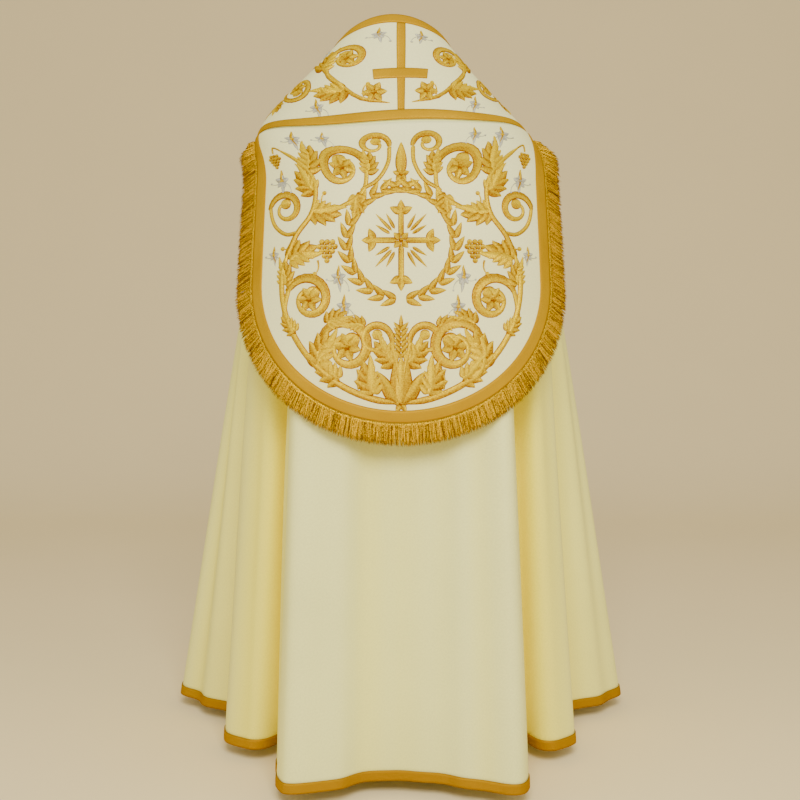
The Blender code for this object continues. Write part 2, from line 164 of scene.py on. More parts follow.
@dataclass(frozen=True)
class CloakForm:
    """The hanging half circle: where each point of the flat cloth comes to lie."""

    cloth_depth: float = 1.50
    neck_half: float = 0.14
    waist_depth: float = 0.75
    folds_from: float = 0.30
    folds_full: float = 0.80
    flutes_from: float = 0.45
    flutes_full: float = 1.05
    drift: float = 0.4
    drift_turn: float = 2.3
    hollow_painted_shade: float = 0.22
    solve_rounds: int = 12
    step: float = 0.004

    def fold_table(self) -> tuple[Array, Array]:
        """Join the two halves of the fold lines.

        Returns:
            The lines' shares round the hem from -1 to 1, and the table rows of both halves.
        """
        mirrored = FOLD_LINES[:0:-1] * (-1, 1, -1, 1, 1)
        whole = np.vstack([mirrored, FOLD_LINES])
        lengths = np.linalg.norm(np.diff(whole[:, :2], axis=0), axis=1)
        along = np.concatenate([[0.0], np.cumsum(lengths)])
        return 2 * along / along[-1] - 1, whole

    def hang(self, depth: Array, share: Array) -> Array:
        """Hang the cloth, before its soft flutes.

        Args:
            depth: how far down the flat cloth each ring lies.
            share: place round the ring, 0 at the back middle and 1 at the right front edge.

        Returns:
            Points of the outer face.
        """
        ring = through(RINGS[:, 0], RINGS[:, 1:], depth)
        half_width, back_y, front_y, z_back, z_side, z_front, end, bunched, middle_x = ring.T
        free = 1 - share**2
        angle = share * np.radians(end) * (1 - bunched * free) + np.arcsin(-middle_x / half_width) * free
        along = np.cos(angle)
        x = half_width * np.sin(angle) + middle_x
        y = -along * np.where(along > 0, back_y, front_y)
        z = z_side + np.where(along > 0, z_back - z_side, z_front - z_side) * along**2
        shares, table = self.fold_table()
        plan = through(shares, table[:, :4], share)
        t = ((depth - self.waist_depth) / (self.cloth_depth - self.waist_depth))[:, None]
        fold = plan[:, 2:] + t * (plan[:, :2] - plan[:, 2:])
        weight = ease((depth - self.folds_from) / (self.folds_full - self.folds_from))
        return np.stack([x + (fold[:, 0] - x) * weight, y + (fold[:, 1] - y) * weight, z], axis=1)

    def outward(self, depth: Array, share: Array) -> Array:
        """Find which way the cloth faces.

        Args:
            depth: ring depths.
            share: shares round the ring.

        Returns:
            Directions of length 1, away from the hollow.
        """
        above = self.hang(np.maximum(depth - self.step, 0.0), share)
        below = self.hang(np.minimum(depth + self.step, self.cloth_depth), share)
        left = self.hang(depth, np.maximum(share - self.step, -1.0))
        right = self.hang(depth, np.minimum(share + self.step, 1.0))
        return unit(np.cross(below - above, right - left))

    def flute(self, depth: Array, share: Array) -> Array:
        """Add up the soft flutes.

        Args:
            depth: ring depths.
            share: shares round the ring.

        Returns:
            How far the cloth is pushed outwards.
        """
        full = ease((depth - self.flutes_from) / (self.flutes_full - self.flutes_from))
        push = np.zeros_like(share)
        for waves, phase, height in FLUTES:
            drift = self.drift * np.sin(self.drift_turn * depth + phase)
            push += height * np.sin(waves * share * math.pi + phase + drift) * full
        return push

    def lifted(self, depth: Array, share: Array, height: Array | float) -> Array:
        """Return points a height above the outer face."""
        push = self.flute(depth, share) + height
        return self.hang(depth, share) + self.outward(depth, share) * np.reshape(push, (-1, 1))

    def ring_share(self, depth: Array, angle: Array) -> Array:
        """Turn an angle on the flat half ellipse into a share.

        Args:
            depth: ring depths.
            angle: angles on the flat pattern, 0 at the right front edge.

        Returns:
            Shares round the ring.
        """
        long_half = np.sqrt(depth**2 + self.neck_half**2)
        bunched = (long_half - depth) / long_half
        return bunched * np.cos(angle) + (1 - bunched) * (1 - 2 * angle / math.pi)

    def flat_to_ring(self, p: Array, q: Array) -> tuple[Array, Array]:
        """Find which ring a flat pattern point lies on.

        Args:
            p: places along the straight edge, from the back middle.
            q: distances from the straight edge.

        Returns:
            Ring depths and shares round the ring.
        """
        spot = np.arccosh((p + 1j * np.maximum(q, 1e-9)) / self.neck_half)
        depth = self.neck_half * np.sinh(spot.real)
        return np.clip(depth, 0.0, self.cloth_depth), np.clip(self.ring_share(depth, spot.imag), -1.0, 1.0)

    def ring_to_flat(self, depth: Array, share: Array) -> Array:
        """Find a ring point on the flat pattern.

        Args:
            depth: ring depths.
            share: shares round the ring.

        Returns:
            Places along the straight edge and distances from it, one row per point.
        """
        angle = (1 - share) * math.pi / 2
        long_half = np.sqrt(depth**2 + self.neck_half**2)
        bunched = (long_half - depth) / long_half
        for _ in range(self.solve_rounds):
            miss = self.ring_share(depth, angle) - share
            slope = -bunched * np.sin(angle) - (1 - bunched) * 2 / math.pi
            angle = np.clip(angle - miss / np.minimum(slope, -0.05), 0.0, math.pi)
        return np.stack([long_half * np.cos(angle), depth * np.sin(angle)], axis=1)

    def on_flat(self, p: Array, q: Array, height: Array | float) -> Array:
        """Return points a height above flat pattern points."""
        return self.lifted(*self.flat_to_ring(p, q), height)

    def painted_fold_light(self, depth: Array, share: Array) -> Array:
        """Find how much painted light the cloth gets: painted bounce light, more the deeper it lies in a fold,
        and painted shade in the flutes' hollows.

        Args:
            depth: ring depths.
            share: shares round the ring.

        Returns:
            Marks from 0 on a ridge to 1 in a valley.
        """
        shares, table = self.fold_table()
        deep = np.interp(share, shares, table[:, 4])
        hollow = np.maximum(-self.flute(depth, share) / FLUTES[:, 2].sum(), 0.0)
        full = ease((depth - self.folds_from) / (self.folds_full - self.folds_from))
        return deep * full + self.hollow_painted_shade * hollow


@dataclass(frozen=True)
class HoodForm:
    """The stiff shield at the back: where each point of the flat shield comes to lie."""

    cloak: CloakForm
    half: float = 0.316
    side: float = 0.345
    depth: float = 0.615
    x_half: float = 0.283
    drop: float = 0.577
    top_z: float = -0.190
    top_q: float = 0.2460
    top_reach: float = 0.96
    rounding: float = 3.2
    lift: float = 0.0033
    rest: float = 0.14
    rise: float = 0.05
    below: float = 0.05
    step: float = 0.004

    def place(self, u: Array, v: Array) -> Array:
        """Find where the hood's back face is.

        Args:
            u: places across the flat shield, from its middle.
            v: places down the flat shield, from its top.

        Returns:
            Points of the back face. The top rests on the cloak, and the rest hangs free.
        """
        past = u - np.clip(u, -self.half, self.half)
        p = (u - past) * self.top_reach
        near = np.clip(v, 0.0, self.rest)
        resting = self.cloak.on_flat(p, self.top_q + near, self.lift + self.rise * near)
        resting += np.stack([past, 0 * past, near - v], axis=1)
        drop = v / self.depth
        middle_y, edge_lift = through(HOOD_HANG[:, 0], HOOD_HANG[:, 1:], np.clip(drop, 0.0, 1.0)).T
        middle_y = middle_y + np.maximum(drop - 1.0, 0.0) * self.below
        x = u * self.x_half / self.half
        y = edge_lift * np.abs(x / self.x_half) ** self.rounding - middle_y
        hung = np.stack([x, y, self.top_z - self.drop * drop], axis=1)
        weight = ease(v / self.rest)[:, None]
        return resting * (1 - weight) + hung * weight

    def outward(self, u: Array, v: Array) -> Array:
        """Find which way the shield faces.

        Args:
            u: places across the flat shield.
            v: places down the flat shield.

        Returns:
            Directions of length 1, away from the cloak.
        """
        down = self.place(u, v + self.step) - self.place(u, v - self.step)
        across = self.place(u + self.step, v) - self.place(u - self.step, v)
        return unit(np.cross(down, across))

    def lifted(self, u: Array, v: Array, height: Array | float) -> Array:
        """Return points a height above the hood's back face."""
        rise = np.reshape(height + np.zeros_like(u), (-1, 1))
        return self.place(u, v) + self.outward(u, v) * rise

    def edge(self, along: Array, inset: Array | float) -> tuple[Array, Array]:
        """Return flat points of the shield's edge.

        Args:
            along: from -1 at the left top corner, round the bottom, to 1 at the right one.
            inset: how far inside the edge the line runs.

        Returns:
            Places across and down the shield.
        """
        half = self.half - inset
        round_height = self.depth - self.side - inset
        turn = (half + round_height) * math.pi / 4
        length = self.side + turn
        walked = (1 - np.abs(along)) * length
        angle = np.clip((walked - self.side) / turn, 0.0, 1.0) * math.pi / 2
        on_side = walked < self.side
        u = np.where(on_side, half, half * np.cos(angle))
        v = np.where(on_side, walked, self.side + round_height * np.sin(angle))
        return np.sign(along) * u, v


@dataclass
class Laid:
    """A grid laid on a form: its points, its cloth coordinates and its marks, one row per point."""

    points: Array
    cloth: Array
    marks: dict[str, Array] = field(default_factory=dict)


def finish_mesh(
    name: str, mesh: bmesh.types.BMesh, lay: Callable[[Array, Array, Array], Laid], close: bool = False
) -> bpy.types.Object:
    """Turn laid-out grids into a piece.

    Args:
        name: the piece's name.
        mesh: grids whose points still hold their places in the grid.
        lay: gives the finished points from the grid's three columns.
        close: whether grid sides that meet are joined.

    Returns:
        The new object, in the scene.
    """
    data = bpy.data.meshes.new(name)
    mesh.to_mesh(data)
    mesh.free()
    spots = np.empty(len(data.vertices) * 3)
    data.vertices.foreach_get("co", spots)
    laid = lay(*spots.reshape(-1, 3).T)
    data.vertices.foreach_set("co", np.ascontiguousarray(laid.points, dtype=np.float32).ravel())
    corner = np.empty(len(data.loops), dtype=np.int32)
    data.loops.foreach_get("vertex_index", corner)
    layer = data.uv_layers.new(name="cloth")
    layer.data.foreach_set("uv", np.ascontiguousarray(laid.cloth[corner], dtype=np.float32).ravel())
    for mark, values in laid.marks.items():
        kept = data.attributes.new(mark, "FLOAT", "POINT")
        kept.data.foreach_set("value", np.ascontiguousarray(values, dtype=np.float32))
    if close:
        joined = bmesh.new()
        joined.from_mesh(data)
        bmesh.ops.remove_doubles(joined, verts=joined.verts[:], dist=SEAM_GAP)
        joined.to_mesh(data)
        joined.free()
    data.shade_smooth()
    data.update()
    piece = bpy.data.objects.new(name, data)
    bpy.context.scene.collection.objects.link(piece)
    return piece


def add_grids(mesh: bmesh.types.BMesh, columns: int, rows: int, count: int) -> None:
    """Add many equal grids to a mesh, one after the other.

    Args:
        mesh: the mesh to add to.
        columns: faces across each grid.
        rows: faces up each grid.
        count: how many grids.
    """
    single = bmesh.new()
    bmesh.ops.create_grid(single, x_segments=columns, y_segments=rows, size=1.0)
    pattern = bpy.data.meshes.new("grid_pattern")
    single.to_mesh(pattern)
    single.free()
    for _ in range(count):
        mesh.from_mesh(pattern)
    bpy.data.meshes.remove(pattern)


def lay_grid(name: str, columns: int, rows: int, lay: Callable[[Array, Array], Laid]) -> bpy.types.Object:
    """Make a piece from one grid.

    Args:
        name: the piece's name.
        columns: faces across, to the right.
        rows: faces upwards.
        lay: gives the finished points for places from -1 to 1 to the right and upwards.

    Returns:
        The new object.
    """
    mesh = bmesh.new()
    bmesh.ops.create_grid(mesh, x_segments=columns, y_segments=rows, size=1.0)
    return finish_mesh(name, mesh, lambda s, t, _: lay(s, t))


def thicken(piece: bpy.types.Object, wall: float) -> None:
    """Give a sheet its wall, inwards from its outer face.

    Args:
        piece: the sheet.
        wall: how thick it gets.
    """
    solid = piece.modifiers.new("wall", "SOLIDIFY")
    solid.thickness = wall
    solid.offset = -1.0
    solid.use_even_offset = False


def sewn(piece: bpy.types.Object, slot: str, *nodes: str) -> bpy.types.Object:
    """Let a piece ride on the garment, in place of its plain nodes.

    Args:
        piece: the piece.
        slot: not used.
        nodes: the plain nodes that it stands for.

    Returns:
        The piece.
    """
    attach(piece, BODY)
    if nodes:
        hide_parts(*nodes)
    return piece


class NodeBench:
    """Adds shader nodes to one tree and joins them."""

    def __init__(self, tree: bpy.types.NodeTree) -> None:
        """Keep the tree to work on."""
        self.tree = tree

    def put(self, socket: bpy.types.NodeSocket, value: object) -> None:
        """Join a socket to another one, or set its own value.

        Args:
            socket: the input to fill.
            value: another socket, a colour or a number.
        """
        if isinstance(value, bpy.types.NodeSocket):
            self.tree.links.new(value, socket)
        elif isinstance(value, tuple) and len(value) == 3 and socket.type == "RGBA":
            socket.default_value = (*value, 1.0)
        else:
            socket.default_value = value

    def node(
        self, kind: str, inputs: dict[str | int, object] | None = None, **settings: object
    ) -> bpy.types.Node:
        """Add a node.

        Args:
            kind: the node's Blender type.
            inputs: sockets by name or number, with values or other sockets.
            settings: the node's own properties.

        Returns:
            The node.
        """
        made = self.tree.nodes.new(kind)
        for key, value in settings.items():
            setattr(made, key, value)
        for key, value in (inputs or {}).items():
            self.put(made.inputs[key], value)
        return made

    def sum(self, operation: str, *values: object) -> bpy.types.NodeSocket:
        """Return the result of a Math node."""
        return self.node("ShaderNodeMath", dict(enumerate(values)), operation=operation).outputs[0]

    def remap(
        self, value: object, low: float, high: float, to_low: float, to_high: float
    ) -> bpy.types.NodeSocket:
        """Return a value moved softly from one range to another."""
        numbers = dict(enumerate((value, low, high, to_low, to_high)))
        return self.node("ShaderNodeMapRange", numbers, interpolation_type="SMOOTHSTEP").outputs[0]

    def blend(
        self, share: object, first: object, second: object, kind: str = "MIX"
    ) -> bpy.types.NodeSocket:
        """Blend two colours.

        Args:
            share: how much of the second one, from 0 to 1.
            first: the first colour.
            second: the second colour.
            kind: Blender's way of blending.

        Returns:
            The blended colour.
        """
        made = self.tree.nodes.new("ShaderNodeMix")
        made.data_type = "RGBA"
        made.blend_type = kind
        for socket, value in ((made.inputs[0], share), (made.inputs[6], first), (made.inputs[7], second)):
            self.put(socket, value)
        return made.outputs[2]

    def relief(self, shader: bpy.types.NodeInputs, strength: float, deep: float, height: object) -> None:
        """Add a Bump node to a shader.

        Args:
            shader: the shader's inputs.
            strength: how much of the relief shows.
            deep: its depth.
            height: the mask that it follows.
        """
        values = {"Strength": strength, "Distance": deep, "Height": height}
        self.put(shader["Normal"], self.node("ShaderNodeBump", values).outputs[0])


class Effect(Enum):
    """The shared effects, each a node group."""

    WEAVE = "thread_weave"
    STITCH = "stitch_rows"
    UNEVEN = "uneven_cloth_and_glints"


class EffectBook:
    """Builds each shared node group once."""

    def __init__(self) -> None:
        """Build the three groups."""
        self.trees = {
            Effect.WEAVE: self._weave(),
            Effect.STITCH: self._stitch(),
            Effect.UNEVEN: self._uneven(),
        }

    @staticmethod
    def _start(
        effect: Effect, inputs: dict[str, tuple[str, object]], outputs: tuple[str, ...]
    ) -> tuple[NodeBench, bpy.types.NodeOutputs, bpy.types.NodeInputs]:
        """Make an empty group.

        Args:
            effect: which effect it is.
            inputs: socket names with their type and default value.
            outputs: names of the number outputs.

        Returns:
            The bench, the group's input node and its output node.
        """
        tree = bpy.data.node_groups.new(effect.value, "ShaderNodeTree")
        for name, (kind, value) in inputs.items():
            socket = tree.interface.new_socket(name=name, in_out="INPUT", socket_type=kind)
            if value is not None:
                socket.default_value = value
        for name in outputs:
            tree.interface.new_socket(name=name, in_out="OUTPUT", socket_type="NodeSocketFloat")
        bench = NodeBench(tree)
        return bench, bench.node("NodeGroupInput").outputs, bench.node("NodeGroupOutput").inputs

    def _weave(self) -> bpy.types.NodeTree:
        """Build crossing threads with a slanting twill line.

        Returns:
            A group that gives a height and a light and dark mask.
        """
        bench, given, out = self._start(
            Effect.WEAVE,
            {
                "Cloth": ("NodeSocketVector", None),
                "Threads": ("NodeSocketFloat", 1400.0),
                "Slant": ("NodeSocketFloat", 0.5),
            },
            ("Height", "Tone"),
        )
        split = bench.node("ShaderNodeSeparateXYZ", {0: given["Cloth"]}).outputs
        across = bench.sum("MULTIPLY", split[0], given["Threads"])
        down = bench.sum("MULTIPLY", split[1], given["Threads"])
        warp = bench.sum("ABSOLUTE", bench.sum("SINE", across))
        weft = bench.sum("ABSOLUTE", bench.sum("SINE", down))
        line = bench.sum("SINE", bench.sum("ADD", across, bench.sum("MULTIPLY", down, 0.5)))
        twill = bench.sum("MULTIPLY", line, given["Slant"])
        bench.put(out["Height"], bench.sum("ADD", bench.sum("MULTIPLY", warp, weft), twill))
        patch = bench.node("ShaderNodeTexNoise", {"Vector": given["Cloth"], "Scale": 260.0, "Detail": 2.0})
        bench.put(out["Tone"], patch.outputs[0])
        return bench.tree

    def _stitch(self) -> bpy.types.NodeTree:
        """Build threads laid side by side.

        Returns:
            A group that gives a height and a mask of the gaps between threads.
        """
        bench, given, out = self._start(
            Effect.STITCH,
            {
                "Cloth": ("NodeSocketVector", None),
                "Threads": ("NodeSocketFloat", 9000.0),
                "Slant": ("NodeSocketFloat", 0.6),
            },
            ("Height", "Gap"),
        )
        split = bench.node("ShaderNodeSeparateXYZ", {0: given["Cloth"]}).outputs
        leaning = bench.sum("ADD", split[0], bench.sum("MULTIPLY", split[1], given["Slant"]))
        loose = bench.node("ShaderNodeTexNoise", {"Vector": given["Cloth"], "Scale": 900.0, "Detail": 1.0})
        turn = bench.sum("ADD", bench.sum("MULTIPLY", leaning, given["Threads"]), loose.outputs[0])
        thread = bench.sum("ABSOLUTE", bench.sum("SINE", turn))
        bench.put(out["Height"], bench.sum("POWER", thread, 0.6))
        bench.put(out["Gap"], bench.remap(thread, 0.0, 0.45, 1.0, 0.0))
        return bench.tree

    def _uneven(self) -> bpy.types.NodeTree:
        """Build a cloud: soft unevenness over the whole garment, or fine specks of painted glint on thread.

        Returns:
            A group that gives a light and dark mask.
        """
        inputs = {"Place": ("NodeSocketVector", None), "Size": ("NodeSocketFloat", 3.0)}
        bench, given, out = self._start(Effect.UNEVEN, inputs, ("Cloud",))
        noise = {"Vector": given["Place"], "Scale": given["Size"], "Detail": 3.0}
        bench.put(out["Cloud"], bench.node("ShaderNodeTexNoise", noise).outputs[0])
        return bench.tree

    def place(self, bench: NodeBench, effect: Effect, **values: object) -> bpy.types.NodeOutputs:
        """Put a group into a material.

        Args:
            bench: the material's bench.
            effect: which group.
            values: its inputs by name.

        Returns:
            The group's outputs.
        """
        made = bench.node("ShaderNodeGroup", node_tree=self.trees[effect])
        for name, value in values.items():
            bench.put(made.inputs[name], value)
        return made.outputs


SHEEN_ROUGHNESS = 0.4
CLOTH_GLOSS = 0.25
METAL_TINT_FROM = 0.2
GOLD_TINT = (1.0, 0.72, 0.25, 1.0)
NO_TINT = (1.0, 1.0, 1.0, 1.0)


def start_material(
    name: str, roughness: float, metallic: float = 0.0, sheen: float = 0.0
) -> tuple[bpy.types.Material, NodeBench, bpy.types.NodeInputs]:
    """Start a material.

    Args:
        name: its name.
        roughness: plain roughness, where nothing varies it.
        metallic: how metallic the thread is.
        sheen: the soft glow of loose fibre.

    Returns:
        The material, its bench and its shader's inputs.
    """
    material = bpy.data.materials.new(name)
    material.use_nodes = True
    shader = material.node_tree.nodes["Principled BSDF"].inputs
    shader["Roughness"].default_value = roughness
    shader["Metallic"].default_value = metallic
    shader["Sheen Weight"].default_value = sheen
    shader["Sheen Roughness"].default_value = SHEEN_ROUGHNESS
    shader["Specular IOR Level"].default_value = CLOTH_GLOSS if metallic == 0 else 0.0
    shader["Specular Tint"].default_value = GOLD_TINT if metallic > METAL_TINT_FROM else NO_TINT
    return material, NodeBench(material.node_tree), shader


@dataclass(frozen=True)
class ClothFinish:
    """Woven cloth: satin for the cloak, twill for the band and the hood."""

    name: str
    colour: Colour
    painted_fold_colour: Colour
    roughness: float
    sheen: float
    threads: float
    slant: float
    relief: float
    mottle: float = 0.03
    darker_by: float = 0.12
    cloud_share: float = 0.5
    rough_spread: float = 0.05
    bump: float = 0.35

    def material(self, book: EffectBook) -> bpy.types.Material:
        """Build the cloth's material.

        Args:
            book: the shared effects.

        Returns:
            The material.
        """
        made, bench, shader = start_material(self.name, self.roughness, sheen=self.sheen)
        cloth = bench.node("ShaderNodeUVMap", uv_map="cloth").outputs[0]
        place = bench.node("ShaderNodeTexCoord").outputs["Object"]
        weave = book.place(bench, Effect.WEAVE, Cloth=cloth, Threads=self.threads, Slant=self.slant)
        uneven = book.place(bench, Effect.UNEVEN, Place=place)
        # Painted light: towards the fold valleys and the flutes' hollows the satin turns a deeper yellow,
        # painted bounce light and shade between its own folds.
        deep = bench.node("ShaderNodeAttribute", attribute_name="painted_fold_light").outputs["Fac"]
        base = bench.blend(deep, self.colour, self.painted_fold_colour)
        darker = tuple(c * (1 - self.darker_by) for c in self.colour)
        cloud = bench.remap(uneven["Cloud"], 0.35, 0.7, 0.0, self.cloud_share)
        base = bench.blend(cloud, base, bench.blend(deep, darker, self.painted_fold_colour))
        grain_and_glint = bench.remap(weave["Tone"], 0.3, 0.7, 1 - self.mottle, 1 + self.mottle)
        grey = bench.node("ShaderNodeCombineColor", {0: grain_and_glint, 1: grain_and_glint, 2: grain_and_glint}).outputs[0]
        bench.put(shader["Base Color"], bench.blend(1.0, base, grey, "MULTIPLY"))
        smooth, rough = self.roughness - self.rough_spread, self.roughness + self.rough_spread
        bench.put(shader["Roughness"], bench.remap(weave["Tone"], 0.3, 0.7, smooth, rough))
        bench.relief(shader, self.bump, self.relief, weave["Height"])
        return made


@dataclass(frozen=True)
class BraidFinish:
    """Woven metal-thread edging, with ribs across it and a cord along each side."""

    name: str
    colour: Colour
    shade: Colour
    width: float
    roughness: float = 0.45
    metallic: float = 0.25
    ribs: float = 2600.0
    rib_slant: float = 0.35
    rib_shade: float = 0.55
    cord_shade: float = 0.45
    worn_size: float = 9.0
    worn_shade: float = 0.35
    bump: float = 0.5
    relief: float = 0.0006

    def material(self, book: EffectBook) -> bpy.types.Material:
        """Build the edging's material.

        Args:
            book: the shared effects.

        Returns:
            The material.
        """
        made, bench, shader = start_material(self.name, self.roughness, self.metallic)
        cloth = bench.node("ShaderNodeUVMap", uv_map="cloth").outputs[0]
        place = bench.node("ShaderNodeTexCoord").outputs["Object"]
        ribs = book.place(bench, Effect.STITCH, Cloth=cloth, Threads=self.ribs, Slant=self.rib_slant)
        uneven = book.place(bench, Effect.UNEVEN, Place=place, Size=self.worn_size)
        across = bench.node("ShaderNodeSeparateXYZ", {0: cloth}).outputs[1]
        side = bench.sum("ABSOLUTE", across)
        cord = bench.remap(side, self.width * 0.36, self.width * 0.44, 0.0, 1.0)
        worn = bench.remap(uneven["Cloud"], 0.35, 0.65, 0.0, self.worn_shade)
        dark = bench.sum("MAXIMUM", bench.sum("MULTIPLY", ribs["Gap"], self.rib_shade), worn)
        dark = bench.sum("MAXIMUM", dark, bench.sum("MULTIPLY", cord, self.cord_shade))
        bench.put(shader["Base Color"], bench.blend(dark, self.colour, self.shade))
        roughness = bench.remap(dark, 0.0, 1.0, self.roughness - 0.08, self.roughness + 0.15)
        bench.put(shader["Roughness"], roughness)
        height = bench.sum("ADD", bench.sum("MULTIPLY", ribs["Height"], bench.sum("SUBTRACT", 1.0, cord)), cord)
        bench.relief(shader, self.bump, self.relief, height)
        return made


@dataclass(frozen=True)
class ThreadFinish:
    """Shining thread: satin stitch, or the twisted strands of a fringe."""

    name: str
    colour: Colour
    shade: Colour
    roughness: float = 0.36
    metallic: float = 0.35
    threads: float = 5200.0
    slant: float = 0.6
    painted_glint: float = 0.3
    painted_glint_size: float = 400.0
    side_shade: float = 0.34
    gap_shade: float = 0.6
    bump: float = 0.5
    relief: float = 0.0005

    def material(self, book: EffectBook) -> bpy.types.Material:
        """Build the thread's material.

        Args:
            book: the shared effects.

        Returns:
            The material.
        """
        made, bench, shader = start_material(self.name, self.roughness, self.metallic)
        cloth = bench.node("ShaderNodeUVMap", uv_map="cloth").outputs[0]
        place = bench.node("ShaderNodeTexCoord").outputs["Object"]
        rows = book.place(bench, Effect.STITCH, Cloth=cloth, Threads=self.threads, Slant=self.slant)
        uneven = book.place(bench, Effect.UNEVEN, Place=place, Size=self.painted_glint_size)
        tone = bench.node("ShaderNodeAttribute", attribute_name="tone").outputs["Fac"]
        across = bench.node("ShaderNodeAttribute", attribute_name="across").outputs["Fac"]
        # Painted shade: on top of each stroke's own tone, the stroke darkens towards its edges, where the
        # raised thread turns away from the light, and on one side, as if lit from the other; the gaps between
        # threads get painted shade too.
        painted_rim_shade = bench.remap(bench.sum("ABSOLUTE", across), 0.5, 1.0, 0.0, 1.0)
        side = bench.remap(across, -0.15, 0.35, 0.0, self.side_shade)
        tone = bench.sum("ADD", tone, bench.sum("MAXIMUM", painted_rim_shade, side))
        # Painted glints: a fine cloud lightens and darkens the thread in specks, painted highlights and shade
        # standing in for light glittering on the metal.
        grain_and_glint = bench.remap(uneven["Cloud"], 0.38, 0.64, 0.0, self.painted_glint)
        dark = bench.sum("MAXIMUM", tone, bench.sum("MULTIPLY", rows["Gap"], self.gap_shade))
        dark = bench.sum("ADD", dark, bench.sum("SUBTRACT", grain_and_glint, self.painted_glint / 2))
        dark = bench.node("ShaderNodeClamp", {0: dark}).outputs[0]
        bench.put(shader["Base Color"], bench.blend(dark, self.colour, self.shade))
        roughness = bench.remap(dark, 0.0, 1.0, self.roughness - 0.06, self.roughness + 0.12)
        bench.put(shader["Roughness"], roughness)
        bench.relief(shader, self.bump, self.relief, rows["Height"])
        return made


SATIN = ClothFinish(
    "cream_satin_cloth", (0.90, 0.885, 0.325), (1.0, 0.87, 0.03), 0.42, 0.03, 3200.0, 0.9, 0.0002
)
TWILL = ClothFinish(
    "ivory_twill_cloth", (0.97, 0.93, 0.43), (0.95, 0.91, 0.41), 0.55, 0.03, 2600.0, 1.2, 0.0003
)
GALLOON = BraidFinish("gold_galloon_braid", (0.56, 0.31, 0.0), (0.34, 0.15, 0.0), 0.021)
HEM_GALLOON = BraidFinish("hem_galloon_braid", (0.44, 0.222, 0.0), (0.30, 0.13, 0.0), 0.019)
BULLION = ThreadFinish(
    "bullion_strands", (0.95, 0.58, 0.002), (0.16, 0.06, 0.0), 0.34, 0.45, 2400.0, 0.9, 0.8, 520.0
)
GOLD = ThreadFinish("gold_stitch", (0.91, 0.635, 0.0), (0.27, 0.075, 0.0), 0.34, 0.3)
SILVER = ThreadFinish("silver_stitch", (0.74, 0.71, 0.52), (0.30, 0.285, 0.20), 0.32, 0.15)


@dataclass(frozen=True)
class Cloak:
    """The big half circle of satin."""

    form: CloakForm
    columns: int = 440
    rows: int = 88
    wall: float = 0.0022

    def build(self, material: bpy.types.Material) -> bpy.types.Object:
        """Make the cloak, from the neck to the hem.

        Args:
            material: its satin.

        Returns:
            The cloak.
        """

        def lay(s: Array, t: Array) -> Laid:
            """Lay the half circle, with closer rows near the neck.

            Args:
                s: places across the grid, -1 to 1.
                t: places up the grid, -1 to 1.

            Returns:
                The laid grid.
            """
            down = (1 - t) / 2
            depth = self.form.cloth_depth * (0.5 * down + 0.5 * down**2)
            marks = {"painted_fold_light": self.form.painted_fold_light(depth, s)}
            return Laid(self.form.lifted(depth, s, 0.0), self.form.ring_to_flat(depth, s), marks)

        piece = lay_grid("cloak_cloth", self.columns, self.rows, lay)
        piece.data.materials.append(material)
        thicken(piece, self.wall)
        return sewn(piece, "cream_satin", "cloak")


